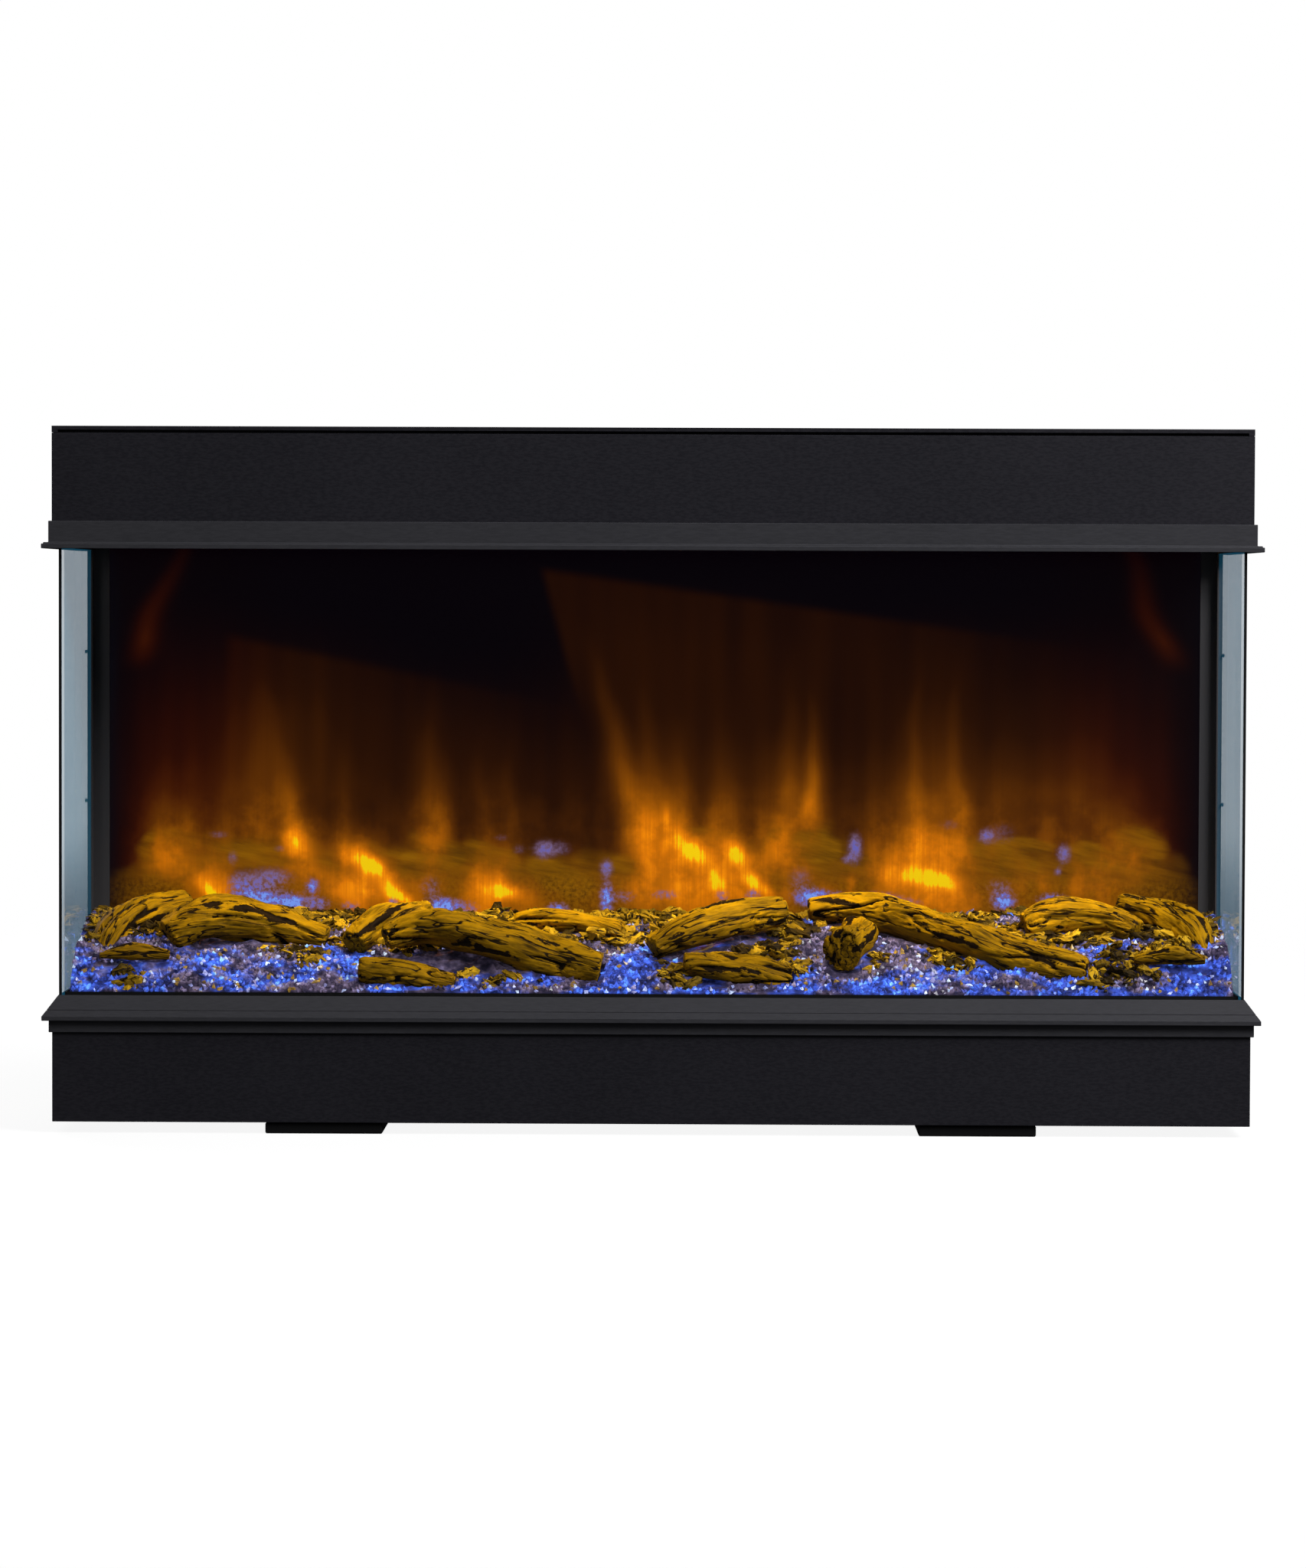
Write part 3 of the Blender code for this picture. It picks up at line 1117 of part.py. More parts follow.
def build_outlet_duct():
    """Sheet funnel from the blower's mouth to the slot behind the upper trim."""
    top = TONGUE_LEVEL + SHEET
    rear = HOUSING_FRONT - GAP
    throat = HOUSING_FRONT - DUCT_THROAT_LENGTH
    throat_half = HOUSING_HALF - SHEET
    stations = ((rear, rear, throat_half, top),
                (throat, throat, throat_half, top),
                (DUCT_FLOOR_FRONT, SHEET + GAP, OUTLET_HALF, UPPER_FLOOR + DUCT_MOUTH_HEIGHT))
    outer = []
    inner = []
    for floor_y, roof_y, half, roof in stations:
        outer.append(((-half, floor_y, UPPER_FLOOR), (half, floor_y, UPPER_FLOOR), (half, roof_y, roof),
                      (-half, roof_y, roof)))
        bore = half - SHEET
        inner.append(((-bore, floor_y, UPPER_FLOOR + SHEET), (bore, floor_y, UPPER_FLOOR + SHEET),
                      (bore, roof_y, roof - SHEET), (-bore, roof_y, roof - SHEET)))
    points = [point for ring in outer + inner for point in ring]
    count = 4
    shift = count * len(stations)
    faces = []
    for offset in (0, shift):
        for step in range(len(stations) - 1):
            for index in range(count):
                after = (index + 1) % count
                low = offset + step * count
                faces.append((low + index, low + after, low + count + after, low + count + index))
    for ring in (0, (len(stations) - 1) * count):
        for index in range(count):
            after = (index + 1) % count
            faces.append((ring + index, ring + after, shift + ring + after, shift + ring + index))
    add_object("outlet_duct", mesh_of("outlet_duct", points, faces), ZINC)


def build_heater_element():
    """Two heated rails joined by one strip of fin folded to and fro between them."""
    low = UPPER_FLOOR + SHEET + GAP
    high = TONGUE_LEVEL - GAP
    half = HOUSING_HALF - 2 * SHEET - GAP
    rear = HOUSING_FRONT - HEATER_SETBACK
    front = rear - HEATER_DEPTH
    rail = HEATER_RAIL
    heater = add_object("heater_element", mesh_of_rings("heater_element", [
        box_rings((-half, front, low), (half, rear, low + rail)),
        box_rings((-half, front, high - rail), (half, rear, high))]), HEATER_FIN)
    span = 2 * (half - rail)
    path = []
    for index in range(HEATER_FOLDS + 1):
        x = -span / 2 + span * index / HEATER_FOLDS
        up = high - rail / 2
        down = low + rail / 2
        path += [(x, down), (x, up)] if index % 2 == 0 else [(x, up), (x, down)]
    inset = HEATER_RAIL / 2
    join(heater, [prism_rings(fold(path, HEATER_FIN_SHEET), "Y", front + inset, rear - inset)])


def build_thermal_cutout():
    base = TONGUE_LEVEL + SHEET + GAP
    profile = ((base, CUTOUT_RADIUS), (base + CUTOUT_HEIGHT, CUTOUT_RADIUS),
               (base + CUTOUT_HEIGHT, CUTOUT_CAP_RADIUS),
               (base + CUTOUT_HEIGHT + CUTOUT_CAP_HEIGHT, CUTOUT_CAP_RADIUS))
    rings = turned_rings(profile, "Z", (CUTOUT_X, HOUSING_FRONT - CUTOUT_SETBACK), 16)
    add_object("thermal_cutout", mesh_of_rings("thermal_cutout", [rings]), DARK_PLASTIC)


def standing_box(middle, level, size):
    x, y = middle
    return box_rings((x - size[0] / 2, y - size[1] / 2, level), (x + size[0] / 2, y + size[1] / 2,
                                                                 level + size[2]))


def build_control_board():
    """Main board on four standoffs, with its relays, transformer and plug header."""
    width, depth = CONTROL_BOARD_SIZE
    x = HOUSING_HALF + CONTROL_BOARD_SPACING + width / 2
    y = CASING_DEPTH - CONTROL_BOARD_INSET
    level = UPPER_FLOOR + STANDOFF_HEIGHT
    board = box("control_board", (x - width / 2, y - depth / 2, level),
                (x + width / 2, y + depth / 2, level + BOARD), BOARD_GREEN)
    reach = (width / 2 - STANDOFF_INSET, depth / 2 - STANDOFF_INSET)
    posts = [standing_box((x + a * reach[0], y + b * reach[1]), UPPER_FLOOR,
                          (STANDOFF_WIDTH, STANDOFF_WIDTH, STANDOFF_HEIGHT + BOARD / 2))
             for a in (-1, 1) for b in (-1, 1)]
    face = level + BOARD / 2
    parts = [standing_box((x - width / 4, y + depth / 5), face, TRANSFORMER_SIZE),
             standing_box((x + width / 4, y + depth / 5), face, RELAY_SIZE),
             standing_box((x, y + depth / 5), face, RELAY_SIZE),
             standing_box((x, y - depth / 3), face, HEADER_SIZE)]
    join(board, posts + parts)


def build_power_supply():
    """Light driver in a finned case on the base pan."""
    x = -SUPPLY_OFFSET
    y = CASING_DEPTH - SUPPLY_INSET
    width, depth, height = SUPPLY_SIZE
    case = box("power_supply", (x - width / 2, y - depth / 2, PAN_FLOOR),
               (x + width / 2, y + depth / 2, PAN_FLOOR + height), DRIVER_CASE)
    grooves = [box_rings((x + offset - SUPPLY_FIN_WIDTH / 2, y - depth / 2 - OVERRUN,
                          PAN_FLOOR + height - SUPPLY_FIN_DEPTH),
                         (x + offset + SUPPLY_FIN_WIDTH / 2, y + depth / 2 + OVERRUN,
                          PAN_FLOOR + height + OVERRUN))
               for offset in spread(SUPPLY_FINS, width / SUPPLY_FINS)]
    cut(case, grooves)


def build_terminal_block():
    x = GROMMET_X - TERMINAL_SPACING
    y = CASING_DEPTH - TERMINAL_INSET
    width, depth, height = TERMINAL_SIZE
    block = box("terminal_block", (x - width / 2, y - depth / 2, PAN_FLOOR),
                (x + width / 2, y + depth / 2, PAN_FLOOR + height), DARK_PLASTIC)
    wells = [turned_rings(((PAN_FLOOR + height - TERMINAL_WELL, TERMINAL_WELL / 2),
                           (PAN_FLOOR + height + OVERRUN, TERMINAL_WELL / 2)), "Z", (x + offset, y), 12)
             for offset in spread(TERMINAL_WAYS, width / TERMINAL_WAYS)]
    cut(block, wells)


def build_cable_grommet():
    """Flanged bush in the back panel where the supply lead enters."""
    waist = (PANEL_FRONT - GAP, PANEL_REAR + GAP)
    profile = ((waist[0] - GROMMET_FLANGE, GROMMET_FLANGE_RADIUS), (waist[0], GROMMET_FLANGE_RADIUS),
               (waist[0], GROMMET_RADIUS), (waist[1], GROMMET_RADIUS),
               (waist[1], GROMMET_FLANGE_RADIUS), (waist[1] + GROMMET_FLANGE, GROMMET_FLANGE_RADIUS))
    centre = (GROMMET_X, GROMMET_LEVEL)
    grommet = add_object("cable_grommet",
                         mesh_of_rings("cable_grommet", [turned_rings(profile, "Y", centre, 16)]),
                         SEAL_RUBBER)
    ends = (waist[0] - GROMMET_FLANGE - OVERRUN, waist[1] + GROMMET_FLANGE + OVERRUN)
    cut(grommet, [turned_rings([(along, GROMMET_BORE_RADIUS) for along in ends], "Y", centre, 16)])


def build_rocker_switch():
    """Snap-in switch with a tilting rocker that turns on an axis along the casing's depth."""
    face = HALF_WIDTH + GAP
    half_y = SWITCH_BODY_SIZE[0] / 2
    half_z = SWITCH_BODY_SIZE[1] / 2
    body = box("switch_body", (face - SWITCH_BODY_DEPTH, SWITCH_Y - half_y, SWITCH_LEVEL - half_z),
               (face + SWITCH_BEZEL / 2, SWITCH_Y + half_y, SWITCH_LEVEL + half_z), DARK_PLASTIC)
    rim_y = SWITCH_BEZEL_SIZE[0] / 2
    rim_z = SWITCH_BEZEL_SIZE[1] / 2
    join(body, [box_rings((face, SWITCH_Y - rim_y, SWITCH_LEVEL - rim_z),
                          (face + SWITCH_BEZEL, SWITCH_Y + rim_y, SWITCH_LEVEL + rim_z))])
    well_y = half_y - SWITCH_WALL
    well_z = half_z - SWITCH_WALL
    cut(body, [box_rings((face - SWITCH_POCKET_DEPTH, SWITCH_Y - well_y, SWITCH_LEVEL - well_z),
                         (face + SWITCH_BEZEL + OVERRUN, SWITCH_Y + well_y, SWITCH_LEVEL + well_z))])
    reach = well_z - ROCKER_END_CLEARANCE
    rise = reach * ROCKER_RISE_SHARE
    drop = reach * ROCKER_DROP_SHARE
    outline = ((rise, -reach), (rise / 2, 0), (rise, reach), (0, reach), (-drop, reach / 2),
               (-drop, -reach / 2), (0, -reach))
    breadth = well_y - GAP
    rings = [[(x, along, z) for x, z in outline] for along in (-breadth, breadth)]
    rocker = add_object("switch_rocker", mesh_of_rings("switch_rocker", [rings]), DARK_PLASTIC,
                        (face - ROCKER_PIVOT_DEPTH, SWITCH_Y, SWITCH_LEVEL))
    rocker.rotation_euler = (0, -math.radians(ROCKER_TILT_DEG), 0)


build_base_pan()
build_lower_casing()
build_upper_casing()
build_top_cover()
build_back_panel()
build_feet()
build_lower_trim()
build_upper_trim()
build_glass_channels()
build_glass()
build_pillars()
build_flame_screen()
build_light_trough()
build_flame_mask()
build_flame_spindle()
build_spindle_motor()
build_spindle_bearing()
build_light_boards()
build_fuel_bed_tray()
build_logs()
build_crystal_bed()
build_chamber_ceiling()
build_blower_housing()
build_blower_wheel()
build_blower_motor()
build_outlet_duct()
build_heater_element()
build_thermal_cutout()
build_control_board()
build_power_supply()
build_terminal_block()
build_cable_grommet()
build_rocker_switch()
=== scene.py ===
"""Finishes, driftwood, crushed glass, flame picture and small hardware of a three-sided electric fire.

Lengths are in metres, save in the tables of the flame picture. Heights on the flame screen are measured
from the casing's underside.
"""

import json
import math

import bmesh
import bpy
import numpy as np
from mathutils import Matrix, Vector, noise
from mathutils.bvhtree import BVHTree


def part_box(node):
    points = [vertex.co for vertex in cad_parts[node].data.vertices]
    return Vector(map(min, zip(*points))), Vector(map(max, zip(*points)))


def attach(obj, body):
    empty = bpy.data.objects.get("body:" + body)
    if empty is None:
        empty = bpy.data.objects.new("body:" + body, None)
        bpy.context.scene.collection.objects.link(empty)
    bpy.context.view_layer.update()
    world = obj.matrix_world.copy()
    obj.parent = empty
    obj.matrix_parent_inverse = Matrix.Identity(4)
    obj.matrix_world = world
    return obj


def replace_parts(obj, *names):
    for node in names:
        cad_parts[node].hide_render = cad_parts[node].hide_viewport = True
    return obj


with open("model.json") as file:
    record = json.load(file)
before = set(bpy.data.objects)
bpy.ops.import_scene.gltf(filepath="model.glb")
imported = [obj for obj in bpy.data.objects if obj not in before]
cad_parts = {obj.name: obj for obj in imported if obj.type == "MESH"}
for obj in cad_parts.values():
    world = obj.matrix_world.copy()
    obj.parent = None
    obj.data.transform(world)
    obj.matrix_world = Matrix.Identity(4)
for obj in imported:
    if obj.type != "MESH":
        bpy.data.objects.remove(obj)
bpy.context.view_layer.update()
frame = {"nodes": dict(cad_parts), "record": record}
NODES = frame["nodes"]

# Camera
CAMERA_AZIMUTH_DEG = 0.535
CAMERA_ELEVATION_DEG = 2.115
CAMERA_ROLL_DEG = 0.2025
CAMERA_DISTANCE = 4.417
CAMERA_LENS_MM = 118.1
CAMERA_AIM = (0, 0, 0.2888)

# Planes and levels of the fire
CASING_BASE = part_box("lower_casing")[0].z
CASING_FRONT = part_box("lower_casing")[0].y
# Levels on the side panes between which their painted reflection of the bed darkens them
FOOT_REFLECTION_LEVELS = (CASING_BASE + 0.262, CASING_BASE + 0.172)
PILLAR_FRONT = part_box("left_side_glass")[1].y
PANEL_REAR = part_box("back_panel")[1].y
PANE_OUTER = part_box("right_side_glass")[1].x
BED_LOW, BED_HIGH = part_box("crystal_bed")

# Lamps of the studio, each with its place, size and power, and the lamp in the fire's own chamber
STUDIO_LAMPS = {
    "key": ((2.2, -1.5, 2.2), (2.0, 1.4), 188), "fill": ((-2.8, -2.4, 1.6), (2.0, 1.6), 24),
    "over": ((0, -0.2, 3.4), (3.5, 3.0), 25), "rear": ((-1.5, 3.0, 2.2), (2.5, 1.8), 110),
}
STUDIO_AIM = (0, 0, 0.3)
CHAMBER_LAMP_PLACE = (0, CASING_FRONT + 0.03, CASING_BASE + 0.492)
CHAMBER_LAMP_AIM = (0, CASING_FRONT + 0.03 + 0.105, CASING_BASE + 0.14)
CHAMBER_LAMP_SIZE = (0.86, 0.02)
CHAMBER_LAMP_SPREAD_DEG = 44

# Floor
FLOOR_REACH = 2.6
FLOOR_WEIGHT = 0.1

# Crushed glass, and the splinters and bark that lie on it between the logs
CHIPS = {"Spacing": 0.0029, "Radius": 0.003, "Sides": 4, "Least Size": (0.6, 0.5, 0.4),
         "Greatest Size": (1.5, 1.1, 0.9), "Tilt": math.pi, "Raggedness": 0.002, "Seed": 7}
SPLINTERS = {"Spacing": 0.0042, "Radius": 0.003, "Sides": 4, "Least Size": (0.8, 0.5, 0.4),
             "Greatest Size": (3.0, 1.4, 1.0), "Tilt": 0.6, "Raggedness": 0.003, "Seed": 11}
BARK = {"Spacing": 0.0125, "Radius": 0.007, "Sides": 12, "Least Size": (0.8, 0.5, 0.3),
        "Greatest Size": (2.2, 1.2, 0.7), "Tilt": 0.5, "Raggedness": 0.01, "Seed": 4}
GREATEST_DENSITY = 220000.0
SIZE_SEED = 21
TINT_SEED = 5
CHIP_CLEARANCE = 0.0014
SPLINTER_CLEARANCE = 0.005
BARK_CLEARANCE = 0.012
CHIP_END_SINK = 0.002
SPLINTER_LIFT = 0.001
HEAP_ROUGHNESS = 0.0022
LOG_REACH_OVER_BED = 0.08

# Shares of the bed's depth by which chips go on under the splinters, and bark stays inside them
CHIP_OVERLAP = 0.06
BARK_MARGIN = 0.04

# Least upward part of a normal on the heap's top, and of one that carries chips
TOP_SLOPE = 0.3
CHIP_SLOPE = 0.25

# Driftwood: depths, widths in noise, and the scales of the noise along a log and across it
LOG_SUBDIVISIONS = 3
LOG_LUMP = 0.0028
LOG_CRACK = 0.005
LOG_SPLIT = 0.0022
CRACK_WIDTH = 0.13
SPLIT_WIDTH = 0.1
LUMP_SCALES = (30, 34)
CRACK_SCALES = (16, 78)
SPLIT_SCALES = (42, 190)
WEATHER_SCALES = (20, 40)

LOG_NAMES = sorted(name for name in NODES if name.startswith("log_"))


def join(value, socket):
    """Feeds a socket from another node's socket, or gives it a value. Colours are given without alpha."""
    if isinstance(value, bpy.types.NodeSocket):
        socket.id_data.links.new(value, socket)
    elif socket.type == "RGBA":
        socket.default_value = (*value, 1)
    else:
        socket.default_value = value


def add_node(tree, kind, inputs=None, **settings):
    """Adds a node with its settings, and joins each input given."""
    node = tree.nodes.new(kind)
    for name, value in settings.items():
        setattr(node, name, value)
    for key, value in (inputs or {}).items():
        join(value, node.inputs[key])
    return node


def made(tree, kind, inputs=None, **settings):
    """The first output of a new node."""
    return add_node(tree, kind, inputs, **settings).outputs[0]


# The helpers that take a socket first add their node to the tree that the socket is in.
def calculate(operation, first, second=0.0, third=0.0, clamp=False):
    values = {0: first, 1: second, 2: third}
    return made(first.id_data, "ShaderNodeMath", values, operation=operation, use_clamp=clamp)


def times(first, second):
    return calculate("MULTIPLY", first, second)


def plus(first, second):
    return calculate("ADD", first, second)


def remap(value, low, high, new_low=0.0, new_high=1.0, smooth=True):
    kind = "SMOOTHSTEP" if smooth else "LINEAR"
    values = {"Value": value, "From Min": low, "From Max": high, "To Min": new_low, "To Max": new_high}
    return made(value.id_data, "ShaderNodeMapRange", values, interpolation_type=kind)


def colour_ramp(value, stops):
    """Colours over a value. Each stop is a place and its red, green and blue."""
    node = add_node(value.id_data, "ShaderNodeValToRGB", {0: value})
    ramp = node.color_ramp
    while len(ramp.elements) < len(stops):
        ramp.elements.new(0.5)
    for element, (place, *colour) in zip(ramp.elements, stops):
        element.position = place
        element.color = (*colour, 1)
    return node.outputs[0]


def noise_of(vector, scale, detail=2.0, roughness=0.5):
    values = {"Vector": vector, "Scale": scale, "Detail": detail, "Roughness": roughness}
    return made(vector.id_data, "ShaderNodeTexNoise", values)


def mapped(vector, **values):
    """A place that is moved, turned or scaled."""
    return made(vector.id_data, "ShaderNodeMapping", {"Vector": vector, **values})


def streaks(vector, scale, detail, roughness):
    """Noise with a scale of its own along each axis."""
    return noise_of(mapped(vector, Scale=scale), 1.0, detail, roughness)


def axes_of(vector):
    return add_node(vector.id_data, "ShaderNodeSeparateXYZ", {0: vector}).outputs


def red_of(colour):
    return made(colour.id_data, "ShaderNodeSeparateColor", {0: colour})


def bump_of(height, strength, distance):
    values = {"Height": height, "Strength": strength, "Distance": distance}
    return made(height.id_data, "ShaderNodeBump", values)


def mix_colour(tree, factor, first, second, blend="MIX"):
    values = {0: factor, 6: first, 7: second}
    return add_node(tree, "ShaderNodeMix", values, data_type="RGBA", blend_type=blend).outputs[2]


def mix_value(tree, factor, first, second):
    return made(tree, "ShaderNodeMix", {0: factor, 2: first, 3: second}, data_type="FLOAT")


def vector_of(tree, x, y, z):
    return made(tree, "ShaderNodeCombineXYZ", {0: x, 1: y, 2: z})


def vector_math(tree, operation, inputs):
    return made(tree, "ShaderNodeVectorMath", inputs, operation=operation)


def stored(tree, name, output="Fac"):
    """What the mesh carries under a name."""
    return add_node(tree, "ShaderNodeAttribute", attribute_name=name).outputs[output]


def object_place(tree):
    return add_node(tree, "ShaderNodeTexCoord").outputs["Object"]


def new_tree(kind, name, inputs, outputs):
    """A node tree with named inputs, each given as its first value or as its kind, and outputs by kind.

    Returns the tree, the sockets that bring the inputs in, and those that take the outputs.
    """
    tree = bpy.data.node_groups.new(name, kind)
    kinds = {float: "Float", int: "Int", tuple: "Vector"}
    for label, value in inputs.items():
        given = value if isinstance(value, str) else kinds[type(value)]
        socket = tree.interface.new_socket(label, in_out="INPUT", socket_type="NodeSocket" + given)
        if not isinstance(value, str):
            socket.default_value = value
    for label, given in outputs.items():
        tree.interface.new_socket(label, in_out="OUTPUT", socket_type="NodeSocket" + given)
    return tree, tree.nodes.new("NodeGroupInput").outputs, tree.nodes.new("NodeGroupOutput").inputs


def build_fine_grain():
    """Fine and broad mottling of a finish, and a height for its bump."""
    tree, given, result = new_tree("ShaderNodeTree", "fine_grain", {
        "Place": "Vector", "Grain": "Vector", "Fine Scale": 900.0, "Broad Scale": 9.0},
        {"Fine": "Float", "Broad": "Float", "Height": "Float"})
    grained = vector_math(tree, "MULTIPLY", {0: given["Place"], 1: given["Grain"]})
    fine = noise_of(grained, given["Fine Scale"], 3.0, 0.6)
    broad = noise_of(given["Place"], given["Broad Scale"], 2.0)
    pits = noise_of(grained, times(given["Fine Scale"], 0.37), 1.0)
    join(remap(fine, 0.3, 0.7), result["Fine"])
    join(remap(broad, 0.3, 0.7), result["Broad"])
    join(plus(times(fine, 0.6), times(pits, 0.4)), result["Height"])
    return tree


FINE_GRAIN = build_fine_grain()
BROAD_SHARE = 0.3


def fine_grain(place, fine_scale, broad_scale, grain=(1, 1, 1)):
    values = {"Place": place, "Grain": grain, "Fine Scale": fine_scale, "Broad Scale": broad_scale}
    return add_node(place.id_data, "ShaderNodeGroup", values, node_tree=FINE_GRAIN).outputs


def new_material(name):
    """A material with one Principled shader. Returns the material and its node tree."""
    material = bpy.data.materials.new(name)
    material.use_nodes = True
    return material, material.node_tree


def finished(material, **values):
    """The material, its shader's inputs joined. Underscores stand for spaces in their names."""
    shader = material.node_tree.nodes["Principled BSDF"]
    for name, value in values.items():
        join(value, shader.inputs[name.replace("_", " ")])
    return material


def grained_finish(name, light, dark, rough, fine_scale=900, grain=(1, 1, 1), bump=0.1,
                   depth=0.0002, metallic=0, specular=0.5, coat=0):
    """A finish mottled between two colours, with its roughness and bump from the same grain."""
    material, tree = new_material(name)
    out = fine_grain(object_place(tree), fine_scale, 7, grain)
    tone = calculate("MULTIPLY_ADD", out["Broad"], BROAD_SHARE, times(out["Fine"], 1 - BROAD_SHARE))
    return finished(
        material, Base_Color=mix_colour(tree, tone, dark, light),
        Roughness=remap(out["Fine"], 0, 1, *rough), Normal=bump_of(out["Height"], bump, depth),
        Metallic=metallic, Specular_IOR_Level=specular, Coat_Weight=coat)


def spangled_zinc(name, light, dark):
    """Zinc-plated sheet with faint crystal facets."""
    material, tree = new_material(name)
    place = object_place(tree)
    cells = add_node(tree, "ShaderNodeTexVoronoi", {"Vector": place, "Scale": 140})
    out = fine_grain(place, 1400, 10)
    facet = calculate("MULTIPLY_ADD", red_of(cells.outputs["Color"]), 0.7, times(out["Fine"], 0.3))
    return finished(
        material, Base_Color=mix_colour(tree, facet, dark, light),
        Roughness=remap(facet, 0, 1, 0.28, 0.46), Normal=bump_of(out["Height"], 0.06, 0.0001),
        Metallic=0.9)


def traced_board(name, mask, copper, pitch):
    """Circuit board: solder mask over a net of slightly raised tracks."""
    material, tree = new_material(name)
    tracks = add_node(tree, "ShaderNodeTexBrick", {
        "Vector": object_place(tree), "Scale": 1, "Color1": (0, 0, 0), "Color2": (0.25, 0.25, 0.25),
        "Mortar": (1, 1, 1), "Mortar Size": pitch * 0.08, "Brick Width": pitch * 2.4,
        "Row Height": pitch}).outputs["Color"]
    level = red_of(tracks)
    return finished(
        material, Base_Color=mix_colour(tree, level, mask, copper),
        Roughness=remap(level, 0, 1, 0.42, 0.3), Normal=bump_of(level, 0.2, 0.0001))


def clear_glass(name, tint, edge_tint, face_alpha, edge_alpha, painted_edge_light=(0, 0, 0), painted_foot_reflection=False):
    """Toughened glass: see-through face on, and tinted where it is seen along its surface.

    The edge glow is painted light: an emitted glow that stands in for the daylight seen along the pane. A
    dark foot is a painted reflection of the bed: the pane darker and less clear towards its bottom.
    """
    material, tree = new_material(name)
    place = object_place(tree)
    slant = add_node(tree, "ShaderNodeLayerWeight", {"Blend": 0.5}).outputs["Facing"]
    edge = remap(slant, 0.55, 0.92)
    smear = noise_of(mapped(place, Scale=(3, 3, 1)), 9, 3)
    alpha = remap(edge, 0, 1, face_alpha, edge_alpha, smooth=False)
    colour = mix_colour(tree, edge, tint, edge_tint)
    # Painted reflection of the bed: darker towards the foot of the pane, and less clear where it is seen
    # along its surface
    if painted_foot_reflection:
        level = calculate("MULTIPLY_ADD", smear, 0.02, axes_of(place)["Z"])
        low = remap(level, *FOOT_REFLECTION_LEVELS)
        colour = mix_colour(tree, low, colour, (0.006, 0.005, 0.007))
        alpha = calculate("MULTIPLY_ADD", times(low, edge), 0.18, alpha, clamp=True)
    # The emission is painted light along the edges of the pane
    return finished(
        material, Base_Color=colour, Emission_Color=mix_colour(tree, edge, (0, 0, 0), painted_edge_light),
        Alpha=alpha, Roughness=remap(smear, 0.3, 0.7, 0.02, 0.05), IOR=1.5, Specular_IOR_Level=0.5,
        Emission_Strength=1)


def plain_rows(rows):
    """A table's rows in plain units, from millimetres in their first four values and hundredths after."""
    return [[*(value / 1000 for value in row[:4]), *(value / 100 for value in row[4:])] for row in rows]


# Flame picture. Each row is a tongue's place across, foot, height, half width, lean and strength.
FLAME_TONGUES = plain_rows((
    # Bodies: broad glow at the feet of the flames
    (-424, 190, 120, 34, 0, 34), (-385, 160, 110, 40, -10, 26), (-310, 180, 140, 30, -12, 26),
    (-250, 160, 95, 50, 0, 46), (-145, 155, 90, 48, 0, 48), (-70, 155, 110, 45, 0, 16),
    (10, 165, 130, 34, 0, 24), (55, 165, 120, 56, 0, 46), (125, 175, 150, 44, 0, 26),
    (235, 162, 120, 52, 0, 50), (330, 170, 150, 50, 0, 22), (412, 190, 120, 36, 0, 32),
    (392, 160, 60, 34, 0, 30), (-312, 212, 44, 13, -12, 22), (160, 172, 44, 18, 0, 16),
    (-197, 180, 110, 20, 0, 16),
    # Broad veils over them
    (20, 245, 190, 70, -10, 8), (110, 245, 190, 50, 0, 6), (245, 245, 190, 60, 0, 10),
    (360, 245, 180, 70, 0, 7), (-345, 235, 170, 60, 0, 6), (-150, 235, 120, 60, 0, 6),
    # Tall streaks
    (-304, 200, 180, 15, -22, 24), (-262, 205, 130, 14, -12, 14), (-198, 205, 180, 15, 2, 24),
    (-190, 205, 120, 12, 10, 12), (-152, 190, 150, 11, 0, 18), (-128, 190, 140, 11, 2, 16),
    (-4, 205, 220, 17, -26, 46), (10, 210, 170, 15, -15, 26), (30, 215, 130, 12, -10, 22),
    (60, 215, 120, 15, 0, 12), (112, 210, 200, 18, 6, 22), (134, 245, 130, 7.5, 2, 26),
    (140, 225, 160, 13, 2, 16), (228, 200, 200, 11, 0, 28), (246, 200, 190, 16, 0, 14),
    (265, 205, 200, 11, 0, 26), (290, 205, 170, 16, 15, 10), (204, 200, 120, 16, 0, 12),
    (370, 210, 160, 22, 0, 8), (-350, 210, 160, 24, 0, 12), (-452, 385, 125, 13, 42, 18),
    (452, 385, 125, 13, -42, 17),
))

# Bright cores. Each row is a core's place across, level, half width, half height, slope and strength.
FLAME_CORES = plain_rows((
    (-386, 180, 10.5, 7, -85, 56), (-382, 184, 16, 16, -50, 20), (-316, 228, 9, 12, 0, 26),
    (-249, 205, 13, 8, -50, 56), (-240, 202, 7, 5, -50, 16), (-252, 207, 23, 16, -45, 30),
    (-270, 212, 2.6, 13, 0, 16), (-230, 181, 7.5, 7.5, -60, 50), (-219, 176, 9, 5, -50, 46),
    (-142, 187, 23, 12, -10, 34), (-129, 181, 15, 6, -15, 46), (11, 245, 3.2, 11, 0, 24),
    (9, 220, 2.6, 7, 0, 18), (36, 217, 14.5, 9, -45, 50), (39, 214, 8, 5, -40, 16),
    (34, 219, 25, 16, -45, 28), (71, 217, 9.5, 9.5, -75, 42), (74, 216, 15, 14, -60, 22),
    (55, 191, 7, 8, -60, 38), (84, 193, 7.5, 8, -70, 50), (98, 184, 8, 5.5, -60, 50),
    (226, 197, 32, 11, -5, 28), (248, 193, 19, 6.5, -15, 46), (205, 197, 7, 7, 0, 12),
    (173, 190, 4, 7.5, 0, 24),
    # Orange bodies round them
    (-258, 186, 36, 13, 0, 22), (30, 192, 48, 15, 0, 9), (-424, 220, 24, 16, 10, 16),
    (422, 222, 26, 17, -10, 15), (-18, 188, 26, 18, 0, 14), (370, 188, 30, 11, 0, 12),
    (110, 222, 15, 15, 0, 16), (235, 222, 38, 20, 0, 12),
))

